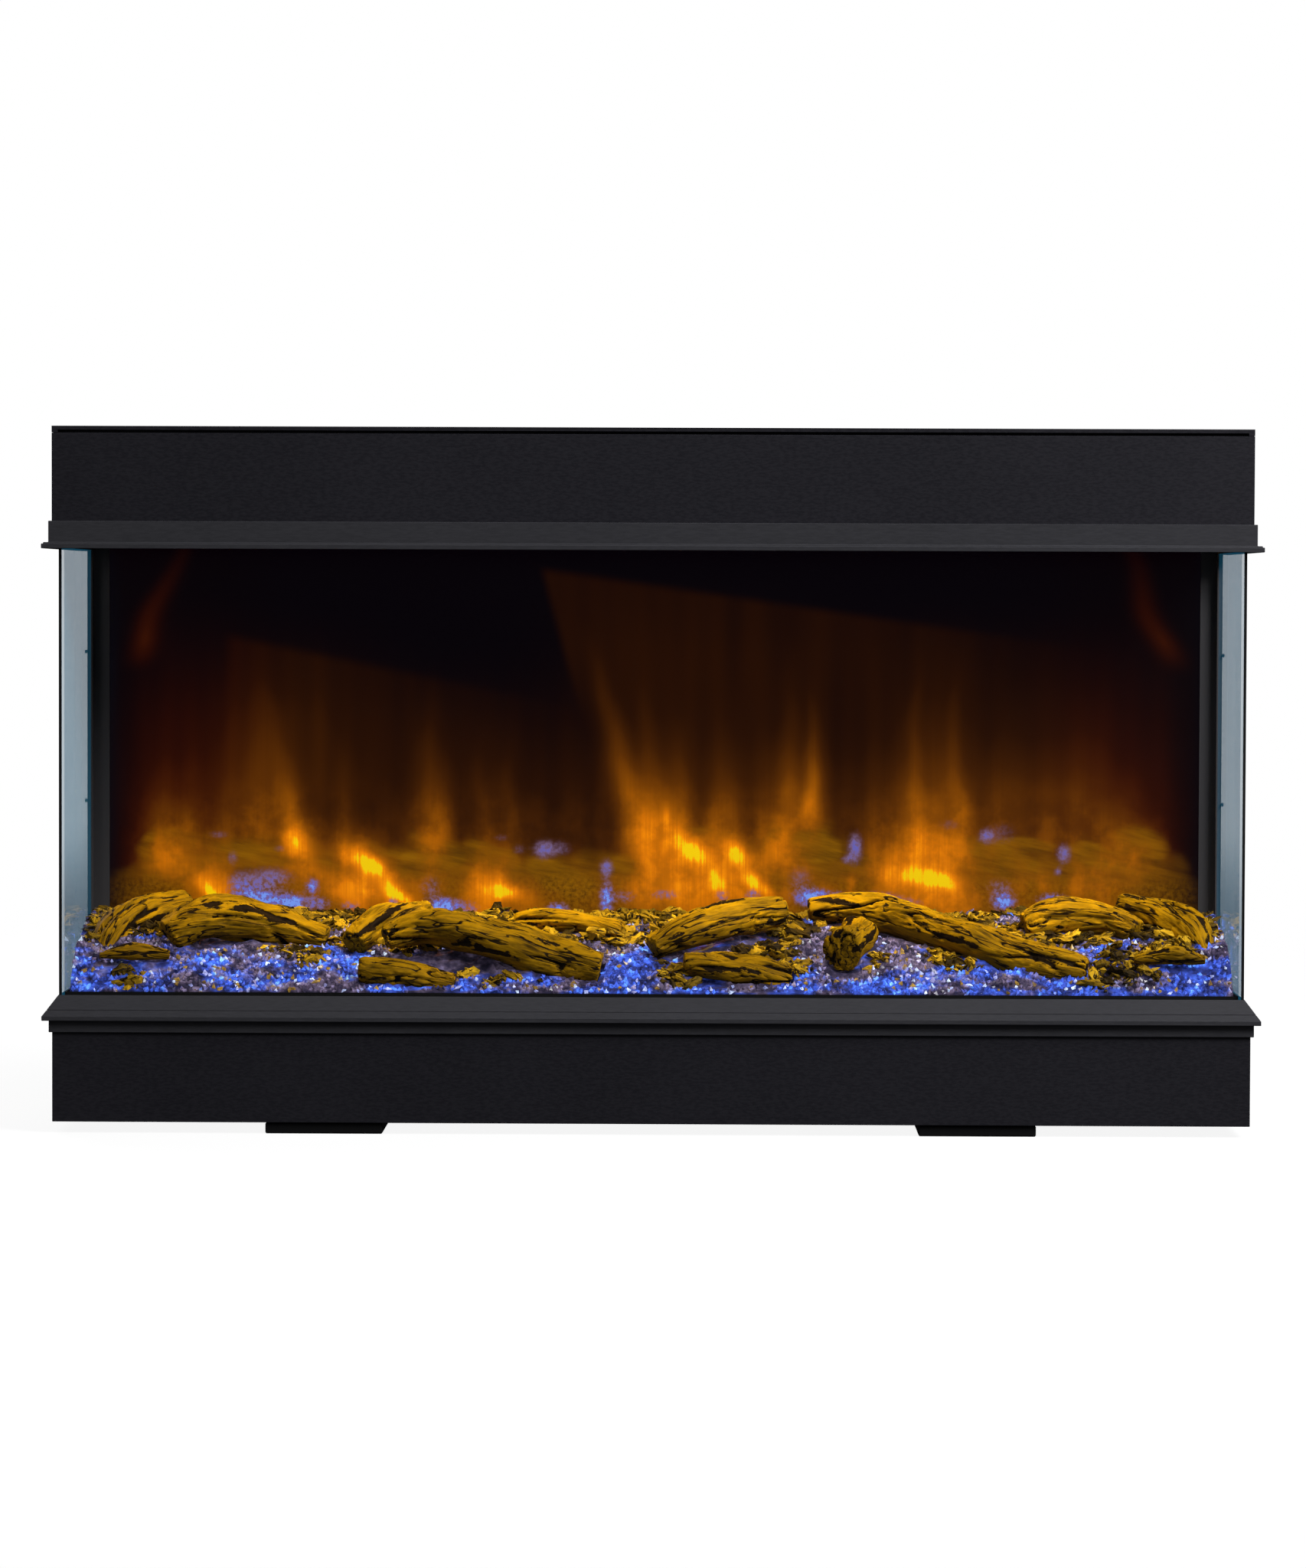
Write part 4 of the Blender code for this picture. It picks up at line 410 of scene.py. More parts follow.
# Haze under the sheets of light. Each row is place across, foot, height, half width and strength.
HAZE_MOUNDS = plain_rows((
    (-400, 150, 300, 75, 19), (-310, 150, 290, 70, 13), (-165, 150, 230, 90, 14), (-50, 150, 200, 80, 7),
    (30, 150, 320, 90, 16), (150, 150, 280, 80, 9), (250, 150, 300, 70, 15), (380, 150, 300, 90, 17),
    (-230, 150, 260, 200, 10), (210, 150, 260, 200, 11),
))

# Each sheet of light is its edges (a point, the run of the edge and its softness), its strength,
# and the levels between which it fades into the haze.
LIGHT_SHEETS = (
    (((-0.1045, 0.4692, 0.99, -0.14, 0.01), (-0.1045, 0.4692, -0.26, 0.96, 0.01),
      (0.42, 0.3, 0.1, -0.99, 0.25)), 0.07, (0.3, 0.4)),
    (((-0.3796, 0.4122, 0.98, -0.2, 0.012), (-0.3796, 0.4122, 0, 1, 0.02),
      (-0.02, 0.3, 0.1, -0.99, 0.3)), 0.065, (0.24, 0.34)),
)

# Colours of the flame picture from no glow to full glow
FLAME_COLOURS = (
    (0, 0.0012, 0.0002, 0.0014), (0.05, 0.008, 0.0016, 0.0006), (0.12, 0.0195, 0.0042, 0.0003),
    (0.2, 0.047, 0.0112, 0.0003), (0.3, 0.104, 0.0265, 0.0004), (0.42, 0.23, 0.062, 0.0006),
    (0.55, 0.42, 0.112, 0.0008), (0.7, 0.7, 0.18, 0.001), (0.86, 0.97, 0.28, 0.0014),
    (0.94, 1, 0.42, 0.0018), (1, 0.94, 0.62, 0.0025),
)

# Colours of the wood and of the lit crystals in the mirror image
GHOST_WOOD_COLOURS = (
    (0.3, 0.08, 0.032, 0.001), (0.44, 0.165, 0.066, 0.001), (0.58, 0.26, 0.104, 0.001),
    (0.78, 0.34, 0.145, 0.002),
)
GLINT_COLOURS = (
    (0.1, 0.12, 0.055, 0.06), (0.42, 0.2, 0.125, 0.25), (0.72, 0.13, 0.14, 0.6),
    (1, 0.17, 0.35, 1),
)

# Distances from the screen's middle at which the picture ends, and up to which it is whole
PICTURE_END = 0.487
PICTURE_WHOLE = 0.44

PICTURE_PITCH = 0.0025
FLAME_SWAY = 0.008
SWAY_SCALES = (9, 20)
FLICKER = 0.35
FLICKER_SCALES = (60, 6)
TONGUE_TAPER = 0.55
TONGUE_FADE = 1.5
GHOST_LEAN = -0.2
GLINT_SPREAD = 1.2

# Lit crystals in the mirror image. Each row is a spot's place, level, half width, half height, strength.
GHOST_SPOTS = plain_rows((
    (-380, 231, 8, 3, 30), (-327, 219, 5, 3, 26), (-368, 211, 4, 5, 36), (-335, 194, 16, 7, 48),
    (-362, 188, 9, 9, 42), (-348, 178, 14, 8, 52), (-338, 170, 18, 7, 90), (-315, 171, 8, 6, 95),
    (-298, 186, 4.5, 5.5, 75), (-293, 171, 8, 5, 55), (-265, 169, 7, 3.5, 40), (-228, 171, 4, 4, 60),
    (-195, 186, 8, 9, 28), (-184, 169, 9.5, 5.5, 110), (-165, 166, 10, 7, 42), (-133, 229, 6, 3, 26),
    (-118, 219, 5, 4.5, 26), (-96, 219, 8, 7, 55), (-80, 220, 8, 6, 30), (-84, 166, 7.5, 5, 85),
    (-41, 203, 5, 6.5, 58), (-41, 176, 4.5, 11, 90), (-25, 178, 8, 5, 34), (10, 180, 10, 3.5, 40),
    (60, 179, 5, 4.5, 40), (87, 180, 5.5, 4, 48), (128, 195, 9, 9, 30), (138, 178, 11, 5.5, 110),
    (160, 178, 12, 4.5, 48), (176, 221, 5.5, 11, 62), (168, 211, 4, 3, 38), (195, 178, 14, 4.5, 44),
    (215, 172, 16, 5.5, 44), (258, 242, 9, 5, 22), (290, 232, 6, 5.5, 48), (305, 235, 11, 9, 24),
    (302, 188, 10, 7, 28), (306, 175, 7.5, 5.5, 105), (348, 177, 11, 4.5, 58), (370, 174, 8, 3.5, 30),
    (358, 217, 5.5, 7.5, 55), (353, 201, 3, 3, 48),
))

# Top of the bed's mirror image on the screen, in hundredths of the screen's width and of its own rise
GHOST_LOW = 0.19
GHOST_HIGH = 0.245
GHOST_HALF = 0.48
GHOST_TOP_SHARES = (
    (0, 5), (5, 40), (10, 65), (15, 72), (19, 55), (23, 46), (28, 66), (30, 70), (34, 55), (37, 38),
    (42, 47), (47, 42), (52, 34), (56, 42), (60, 70), (63, 93), (66, 86), (68, 62), (71, 42), (77, 60),
    (81, 70), (86, 50), (88, 52), (91, 70), (95, 60), (98, 36), (100, 5),
)

# Logs in the mirror image. Each row is a log's place, level, half width, half height, slope, strength.
GHOST_LOGS = plain_rows((
    (-424, 218, 30, 20, 10, 60), (-440, 196, 30, 10, 20, 40), (-332, 213, 62, 10, -14, 80),
    (-250, 206, 40, 14, 5, 35), (-196, 209, 38, 18, 20, 85), (-140, 212, 34, 12, -30, 70),
    (-82, 194, 40, 17, -32, 90), (-74, 178, 34, 10, -10, 60), (-18, 196, 27, 20, -20, 75),
    (40, 232, 36, 8, 0, 45), (110, 221, 18, 18, 0, 95), (140, 222, 28, 19, -10, 100),
    (150, 200, 26, 9, 5, 60), (308, 208, 44, 20, -34, 90), (322, 224, 32, 8, -5, 70),
    (384, 214, 28, 14, -20, 85), (424, 222, 28, 21, -10, 70), (380, 192, 40, 10, 10, 50),
))


def plain_mesh(name, points, faces=()):
    mesh = bpy.data.meshes.new(name)
    mesh.from_pydata(points, [], faces)
    return mesh


def soft_step(share):
    share = np.clip(share, 0, 1)
    return share * share * (3 - 2 * share)


def tongue_glow(x, z, across, foot, height, half, lean, strength):
    """Glow of one upright tongue: a soft bell across, quick to rise at its foot and slow to fade."""
    rise = z - foot
    share = np.clip(rise / height, 0, 1)
    reach = (x - across - rise * lean) / (half * (1 - TONGUE_TAPER * share))
    grown = soft_step((rise / height + 0.12) / 0.28)
    return strength * np.exp(-reach ** 2) * grown * (1 - share) ** TONGUE_FADE


def core_glow(x, z, across, level, half, half_height, slope, strength):
    rise = z - level - slope * (x - across)
    return strength * np.exp(-((x - across) / half) ** 2 - (rise / half_height) ** 2)


def haze_glow(x, z, across, foot, height, half, strength):
    fade = soft_step(1 - (z - foot) / height)
    return strength * np.exp(-((x - across) / half) ** 2) * fade


def sheet_glow(x, z, edges, strength, levels):
    """Glow of one sheet of light: nothing before each of its edges and full light past them."""
    lit = soft_step((z - levels[0]) / (levels[1] - levels[0]))
    for across, level, run_across, run_up, softness in edges:
        lit = lit * soft_step(((x - across) * run_up - (z - level) * run_across) / softness)
    return strength * lit


def noise_over(x, z, x_scale, z_scale, layer=0):
    return np.array([noise.noise(Vector((a * x_scale, layer, b * z_scale))) for a, b in zip(x, z)])


def flame_glow(x, z):
    """Glow of the whole flame picture at places across the screen and up it."""
    moved = x + FLAME_SWAY * noise_over(x, z, *SWAY_SCALES)
    glow = sum(tongue_glow(moved, z, *row) for row in FLAME_TONGUES)
    glow = glow + sum(core_glow(x, z, *row) for row in FLAME_CORES)
    haze = sum(haze_glow(moved, z, *row) for row in HAZE_MOUNDS)
    sheets = np.maximum.reduce([sheet_glow(x, z, *row) for row in LIGHT_SHEETS])
    return glow + (haze + sheets) * (1 + FLICKER * noise_over(x, z, *FLICKER_SCALES))


def ghost_cover(x, z):
    """How much of the mirror image's wood shows at places across the screen and up it."""
    place, rise = np.array(GHOST_TOP_SHARES).T / 100
    top = np.interp((x + GHOST_HALF) / (2 * GHOST_HALF), place, rise)
    ragged = noise_over(x, z, 60, 60, 3)
    level = GHOST_LOW + (GHOST_HIGH - GHOST_LOW) * (top + 0.25 * ragged)
    heap = 0.55 * soft_step((level - z + 0.01) / 0.024)
    logs = np.zeros(len(x))
    for across, middle, half, half_height, slope, strength in GHOST_LOGS:
        out = ((x - across) / half) ** 2 + ((z - middle - slope * (x - across)) / half_height) ** 2
        logs = np.maximum(logs, strength * soft_step((1.15 + 0.35 * ragged - out) / 0.75))
    return np.maximum(heap, logs)


def ghost_glint(x, z):
    """Strength of the lit crystals in the mirror image at places across the screen and up it."""
    return sum(core_glow(x, z, place, level, GLINT_SPREAD * half, GLINT_SPREAD * rise, 0, strength)
               for place, level, half, rise, strength in GHOST_SPOTS)


def build_flame_picture():
    """The flame screen as a fine grid, which carries the glow and the glints of the picture on it."""
    low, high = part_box("flame_screen")
    columns = int((high.x - low.x) / PICTURE_PITCH)
    rows = int((high.z - low.z) / PICTURE_PITCH)
    x, z = np.meshgrid(np.linspace(low.x, high.x, columns + 1), np.linspace(low.z, high.z, rows + 1))
    x, z = x.ravel(), z.ravel()
    count = len(x)
    across = columns + 1
    points = [(a, low.y, b) for a, b in zip(x, z)]
    points += [(low.x, high.y, low.z), (high.x, high.y, low.z), (high.x, high.y, high.z),
               (low.x, high.y, high.z)]
    grid = np.arange(count).reshape(rows + 1, across)
    faces = [(start, start + 1, start + across + 1, start + across)
             for start in grid[:-1, :-1].ravel().tolist()]
    foot, head, left, right = (line.tolist() for line in (grid[0], grid[-1], grid[:, 0], grid[:, -1]))
    faces += [(count + 1, count, count + 3, count + 2), foot[::-1] + [count, count + 1],
              head + [count + 2, count + 3], left + [count + 3, count],
              right[::-1] + [count + 1, count + 2]]
    mesh = plain_mesh("flame_picture_screen", points, faces)
    for name, picture in (("glow", flame_glow), ("ghost", ghost_cover), ("glint", ghost_glint)):
        layer = mesh.attributes.new(name, "FLOAT", "POINT")
        layer.data.foreach_set("value", np.append(picture(x, z - CASING_BASE), np.zeros(4)))
    mesh.materials.append(FINISHES["screen"])
    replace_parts(add_piece("flame_picture_screen", mesh), "flame_screen")


def flame_screen_finish():
    """Smoked acrylic with the flame picture on it: tongues, haze and a painted reflection of the bed."""
    material, tree = new_material("flame_picture")
    place = mapped(object_place(tree), Location=(0, 0, -CASING_BASE))
    axes = axes_of(place)
    off_middle = calculate("ABSOLUTE", axes["X"])
    inside = remap(off_middle, PICTURE_END, PICTURE_WHOLE)
    blotch = remap(streaks(place, (36, 0, 34), 4, 0.6), 0.35, 0.65, 0.84, 1.12)
    total = times(times(stored(tree, "glow"), inside),
                  mix_value(tree, remap(axes["Z"], 0.3, 0.23), 1, blotch))
    comb = remap(streaks(place, (380, 0, 9), 3, 0.7), 0.3, 0.7, -1, 1)
    combed = calculate("MULTIPLY_ADD", comb, remap(total, 0.5, 1, 0.02, 0.15), 1)
    total = calculate("MULTIPLY", total, combed, clamp=True)
    dim_side = times(remap(off_middle, 0.3, 0.42), remap(total, 0.35, 0.05))
    colour = colour_ramp(total, FLAME_COLOURS)
    colour = mix_colour(tree, dim_side, colour, (1.25, 0.62, 0.75), "MULTIPLY")

    # Painted reflection of the logs and crystals, just over the real ones
    lying = mapped(place, Rotation=(0, GHOST_LEAN, 0))
    speckle = noise_of(place, 260, 2, 0.6)
    low_share = remap(axes["Z"], 0.202, 0.182)
    bark = mix_value(tree, low_share, streaks(lying, (17, 0, 105), 4, 0.6), speckle)
    cover = times(times(stored(tree, "ghost"), inside), remap(total, 0.62, 0.26, 0.12, 0.86))
    colour = mix_colour(tree, cover, colour, colour_ramp(bark, GHOST_WOOD_COLOURS))
    grit = calculate("MULTIPLY_ADD", remap(speckle, 0.34, 0.66, -1, 1),
                     remap(low_share, 0, 1, 0.2, 0.45), 1)
    glint = times(stored(tree, "glint"), grit)
    colour = mix_colour(tree, remap(glint, 0.06, 0.55, 0, 0.85), colour,
                        colour_ramp(glint, GLINT_COLOURS))

    smear = noise_of(place, 14, 3)
    return finished(
        material, Emission_Color=colour, Roughness=remap(smear, 0.3, 0.7, 0.1, 0.16),
        Base_Color=(0.001, 0.001, 0.001), Emission_Strength=1, Specular_IOR_Level=0.25)


def driftwood_finish():
    """Golden weathered wood: long plates, with near-black painted shade in jagged cracks and hollows
    between them.
    """
    material, tree = new_material("golden_driftwood")
    grain = stored(tree, "grain", "Vector")
    fibre = streaks(grain, (45, 420, 420), 4, 0.6)
    mottle = streaks(grain, (24, 60, 60), 3, 0.55)
    ragged = streaks(grain, (170, 340, 340), 3, 0.65)
    tone = plus(times(mottle, 0.5), times(fibre, 0.5))
    wood = colour_ramp(tone, ((0.34, 0.044, 0.023, 0.0005), (0.43, 0.13, 0.067, 0.0005),
                                    (0.54, 0.25, 0.127, 0.0005), (0.7, 0.345, 0.178, 0.001)))
    jag = calculate("MULTIPLY_ADD", ragged, 0.22, -0.11)
    lines = streaks(grain, (15, 120, 120), 2, 0.5)
    off_line = calculate("ABSOLUTE", calculate("SUBTRACT", lines, 0.5))
    # Painted shade in fine splits along the grain
    split = remap(calculate("MULTIPLY_ADD", jag, 0.16, off_line), 0.024, 0.01)
    shown = remap(mottle, 0.62, 0.48)
    # Painted shade in hollows that the bump sinks but the mesh does not
    holes = streaks(grain, (20, 85, 85), 2, 0.5)
    hollow_shade = remap(plus(holes, jag), 0.605, 0.64)
    # Painted shade in the cracks carved into the mesh, darker where they are carved deeper
    deep = remap(plus(stored(tree, "crack"), jag), 0.3, 0.46)
    dark = calculate("MAXIMUM", times(split, shown), calculate("MAXIMUM", hollow_shade, deep))
    height = calculate("SUBTRACT", calculate("MULTIPLY_ADD", fibre, 0.4, mottle), dark)
    return finished(
        material, Base_Color=mix_colour(tree, dark, wood, (0.01, 0.005, 0.001)),
        Roughness=remap(fibre, 0.3, 0.7, 0.6, 0.85), Normal=bump_of(height, 0.8, 0.0016),
        Specular_IOR_Level=0.06)


def splinter_finish():
    """Splinters and bark of the same wood. Each keeps one tint, from near black to gold."""
    material, tree = new_material("driftwood_splinters")
    tint = stored(tree, "tint")
    apart = vector_of(tree, times(tint, 7), 0, 0)
    place = vector_math(tree, "ADD", {0: stored(tree, "grain", "Vector"), 1: apart})
    fibre = streaks(place, (60, 320, 320), 3, 0.6)
    gap_shade_noise = streaks(place, (90, 230, 230), 3, 0.7)
    tone = calculate("MULTIPLY_ADD", calculate("SUBTRACT", fibre, 0.5), 0.9, tint)
    wood = colour_ramp(tone, (
        (0, 0.016, 0.009, 0.001), (0.3, 0.06, 0.035, 0.001), (0.55, 0.15, 0.086, 0.002),
        (0.8, 0.27, 0.154, 0.003), (1, 0.42, 0.25, 0.008)))
    # Painted shade in the gaps between the fibres, which the bump also sinks
    dark = remap(gap_shade_noise, 0.54, 0.6)
    return finished(
        material, Base_Color=mix_colour(tree, dark, wood, (0.008, 0.004, 0.001)),
        Roughness=remap(fibre, 0.3, 0.7, 0.6, 0.85),
        Normal=bump_of(calculate("SUBTRACT", fibre, dark), 0.5, 0.001), Specular_IOR_Level=0.12)


def crystal_finish(name, lift):
    """Crushed glass with a painted glow for the light from below: blue in painted pools of light, and
    grey to amber elsewhere. Lift is the glow's strength.
    """
    material, tree = new_material(name)
    place = object_place(tree)
    tint = stored(tree, "tint")
    cluster = remap(noise_of(place, 75, 2, 0.6), 0.33, 0.67, smooth=False)
    tone = plus(times(tint, 0.45), times(cluster, 0.55))
    lit_colour = colour_ramp(tone, (
        (0.12, 0.006, 0.01, 0.06), (0.32, 0.02, 0.036, 0.21), (0.52, 0.045, 0.1, 0.62),
        (0.7, 0.07, 0.19, 0.9), (0.84, 0.14, 0.38, 1), (0.95, 0.36, 0.74, 1)))
    shaded_and_amber_colour = colour_ramp(tone, (
        (0.12, 0.01, 0.008, 0.015), (0.36, 0.044, 0.033, 0.06), (0.56, 0.14, 0.105, 0.165),
        (0.7, 0.27, 0.22, 0.4), (0.78, 0.13, 0.074, 0.01), (0.92, 0.46, 0.26, 0.012)))
    # Rare amber chips, and on the rarest a painted sparkle of pale blue light
    amber_and_sparkle_colour = colour_ramp(tint, (
        (0.88, 0.13, 0.072, 0.003), (0.93, 0.33, 0.2, 0.015), (0.94, 0.24, 0.23, 0.48),
        (0.97, 0.34, 0.38, 0.76), (1, 0.62, 0.76, 1)))
    # Painted pools of light, a little more of them near the front
    near = remap(axes_of(place)["Y"], CASING_FRONT + 0.07, CASING_FRONT + 0.015, 0, 0.09)
    light_pool_noise = noise_of(mapped(place, Scale=(1, 1.6, 1.6)), 19, 3, 0.6)
    lit = remap(plus(light_pool_noise, near), 0.512, 0.612)
    colour = mix_colour(tree, lit, shaded_and_amber_colour, lit_colour)
    colour = mix_colour(tree, remap(tint, 0.875, 0.89), colour, amber_and_sparkle_colour)
    facet = noise_of(place, 420, 1)
    # Strength of the painted glow, varied over the pools and the facets
    glow = times(remap(light_pool_noise, 0.35, 0.65, 0.55, 1.15, smooth=False),
                 remap(facet, 0.35, 0.7, 0.4, 1.3))
    grey = made(tree, "ShaderNodeCombineColor", {0: glow, 1: glow, 2: glow})
    return finished(
        material, Emission_Color=mix_colour(tree, 1, colour, grey, "MULTIPLY"),
        Base_Color=mix_colour(tree, 0.5, colour, (0.02, 0.02, 0.05)),
        Roughness=remap(facet, 0.3, 0.7, 0.04, 0.2), IOR=1.5, Specular_IOR_Level=0.3,
        Emission_Strength=lift)


FINISHES = {
    "casing_black": grained_finish(
        "casing_powder_coat", (0.0105, 0.01, 0.0135), (0.0065, 0.0062, 0.0088), (0.5, 0.66), 620,
        (0.35, 1, 1), 0.22, specular=0.12),
    "trim_black": grained_finish(
        "trim_satin_paint", (0.029, 0.0288, 0.033), (0.0225, 0.0224, 0.0256), (0.46, 0.58),
        grain=(0.15, 1, 1), depth=0.0001, specular=0.07),
    "inner_black": grained_finish(
        "heat_proof_black", (0.038, 0.0365, 0.04), (0.026, 0.025, 0.0275), (0.55, 0.75), 700,
        bump=0.15, specular=0.3),
    "foot_rubber": grained_finish(
        "moulded_rubber", (0.0024, 0.0023, 0.0029), (0.0012, 0.0012, 0.0015), (0.62, 0.85), 500,
        bump=0.25, depth=0.0003, specular=0.12),
    "seal": grained_finish(
        "seal_rubber", (0.0045, 0.0045, 0.005), (0.0025, 0.0025, 0.0028), (0.7, 0.88), 600,
        bump=0.2, specular=0.12),
    "tray": grained_finish(
        "tray_acrylic", (0.3, 0.34, 0.62), (0.22, 0.26, 0.52), (0.18, 0.3), 300, bump=0.05, coat=0.3),
    "reflector": grained_finish(
        "reflector_aluminium", (0.86, 0.86, 0.87), (0.66, 0.66, 0.68), (0.1, 0.24), 500,
        (1, 0.05, 0.05), 0.08, 0.0001, metallic=1),
    "zinc": spangled_zinc("zinc_sheet", (0.66, 0.67, 0.68), (0.44, 0.45, 0.46)),
    "motor_steel": grained_finish(
        "motor_laminations", (0.4, 0.41, 0.43), (0.16, 0.16, 0.17), (0.3, 0.5), 1300,
        (1, 0.04, 0.04), 0.4, 0.0003, metallic=0.85),
    "heater_fin": grained_finish(
        "heater_fins", (0.7, 0.68, 0.64), (0.46, 0.42, 0.36), (0.24, 0.42), 400, (0.2, 1, 1),
        metallic=0.95),
    "light_board": traced_board("light_board_mask", (0.8, 0.8, 0.78), (0.66, 0.64, 0.55), 0.006),
    "circuit_board": traced_board("circuit_board_mask", (0.015, 0.13, 0.055), (0.05, 0.26, 0.11), 0.0035),
    "driver_case": grained_finish(
        "driver_case_anodised", (0.66, 0.67, 0.69), (0.52, 0.53, 0.55), (0.26, 0.4), 800,
        (0.08, 1, 1), metallic=0.9),
    "dark_moulding": grained_finish(
        "grained_moulding", (0.03, 0.03, 0.032), (0.018, 0.018, 0.02), (0.38, 0.58), 420, bump=0.3,
        depth=0.0003),
    "screen": flame_screen_finish(),
    "driftwood": driftwood_finish(),
    "crystal": crystal_finish("lit_crushed_glass", 1),
    "glass": clear_glass("front_pane_glass", (0.01, 0.012, 0.013), (0.05, 0.08, 0.09), 0.02, 0.4),
}
# Side panes with a painted bluish light along their edges and a painted reflection of the bed at their
# foot
SIDE_GLASS = clear_glass("side_pane_glass", (0.012, 0.018, 0.02), (0.04, 0.18, 0.26), 0.05, 0.53,
                         (0.004, 0.052, 0.094), painted_foot_reflection=True)
SPLINTER = splinter_finish()
SCREW_STEEL = grained_finish(
    "black_zinc_screw", (0.1, 0.1, 0.11), (0.05, 0.05, 0.055), (0.28, 0.45), 1500, metallic=0.9)


def dress_nodes():
    """Gives every node of the frame the finish of its slot in the record, or one of its own."""
    finishes = {entry["node"]: FINISHES[entry["material_slot"]] for entry in frame["record"]["subparts"]}
    finishes.update(left_side_glass=SIDE_GLASS, right_side_glass=SIDE_GLASS,
                    lower_glass_channel=FINISHES["seal"])
    for name, finish in finishes.items():
        for place in NODES[name].material_slots:
            place.material = finish


def put_in_scene(name, data):
    item = bpy.data.objects.new(name, data)
    bpy.context.scene.collection.objects.link(item)
    return item


def add_piece(name, mesh, body="fire"):
    piece = put_in_scene(name, mesh)
    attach(piece, body)
    return piece


def mesh_from(work, name):
    mesh = bpy.data.meshes.new(name)
    work.to_mesh(mesh)
    work.free()
    return mesh


def merged_copy(node):
    """A copy of a node's mesh with its doubled points merged."""
    work = bmesh.new()
    work.from_mesh(NODES[node].data)
    bmesh.ops.remove_doubles(work, verts=work.verts, dist=1e-6)
    return mesh_from(work, node + "_shape")


def evaluated_mesh(holder):
    """The plain mesh of an object after its modifiers. The object itself goes."""
    graph = bpy.context.evaluated_depsgraph_get()
    mesh = bpy.data.meshes.new_from_object(holder.evaluated_get(graph))
    holder.modifiers.clear()
    bpy.data.objects.remove(holder)
    return mesh


def subdivided(mesh, levels):
    holder = put_in_scene(mesh.name + "_holder", mesh)
    change = holder.modifiers.new("subdivision", "SUBSURF")
    change.levels = change.render_levels = levels
    return evaluated_mesh(holder)


def log_coordinates(points):
    """Distance along each log's bent middle line, and the two distances out from it."""
    middle = points.mean(0)
    axes = np.linalg.svd(points - middle, full_matrices=False)[2]
    local = (points - middle) @ axes.T
    along = local[:, 0]
    out = [side - np.polyval(np.polyfit(along, side, 3), along) for side in local.T[1:]]
    return np.stack([along, *out], 1)


def log_noise(place, scales, shift):
    """Noise at a place in a log's own coordinates, scaled along the log and across it."""
    along, across = scales
    return noise.noise(Vector((place[0] * along, place[1] * across, place[2] * across)) + shift)


def carve_log(mesh, seed):
    """Lumps, long cracks and splits in a log's surface, with attributes that its finish reads."""
    count = len(mesh.vertices)
    points = np.empty(count * 3)
    mesh.vertices.foreach_get("co", points)
    points = points.reshape(-1, 3)
    normals = np.array([vertex.normal for vertex in mesh.vertices])
    local = log_coordinates(points)
    shift = Vector((seed * 3.1, seed * 1.7, seed * 2.3))
    cracks = np.zeros(count)
    moves = np.zeros(count)
    for index, place in enumerate(local.tolist()):
        lump = log_noise(place, LUMP_SCALES, shift)
        plate = abs(log_noise(place, CRACK_SCALES, shift * 2))
        split = abs(log_noise(place, SPLIT_SCALES, shift * 3))
        weathered = 0.5 + 0.9 * log_noise(place, WEATHER_SCALES, -shift)
        deep = max(0.0, 1 - plate / CRACK_WIDTH) * min(max(weathered, 0.0), 1.0)
        fine = max(0.0, 1 - split / SPLIT_WIDTH) * min(max(weathered + 0.2, 0.0), 1.0)
        moves[index] = LOG_LUMP * lump - LOG_CRACK * deep - LOG_SPLIT * fine
        cracks[index] = min(1.0, 1.1 * deep ** 1.5 + 0.4 * fine)
    moved = points + normals * moves[:, None]
    mesh.vertices.foreach_set("co", moved.ravel())
    mesh.attributes.new("grain", "FLOAT_VECTOR", "POINT").data.foreach_set("vector", local.ravel())
    # The crack attribute tells the finish where to paint shade in the cracks
    mesh.attributes.new("crack", "FLOAT", "POINT").data.foreach_set("value", cracks)
    mesh.update()
    mesh.shade_smooth()


def build_driftwood():
    for seed, node in enumerate(LOG_NAMES):
        mesh = subdivided(merged_copy(node), LOG_SUBDIVISIONS)
        mesh.name = node.replace("log_", "driftwood_")
        carve_log(mesh, seed)
        mesh.materials.clear()
        mesh.materials.append(FINISHES["driftwood"])
        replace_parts(add_piece(mesh.name, mesh), node)


def log_tree(name):
    mesh = NODES[name].data
    return BVHTree.FromPolygons([vertex.co for vertex in mesh.vertices],
                                [face.vertices for face in mesh.polygons])


def edge_gap(place):
    """How far a place on the bed lies inside the nearest of its edges."""
    return min(place.x - BED_LOW.x, BED_HIGH.x - place.x, place.y - BED_LOW.y, BED_HIGH.y - place.y)


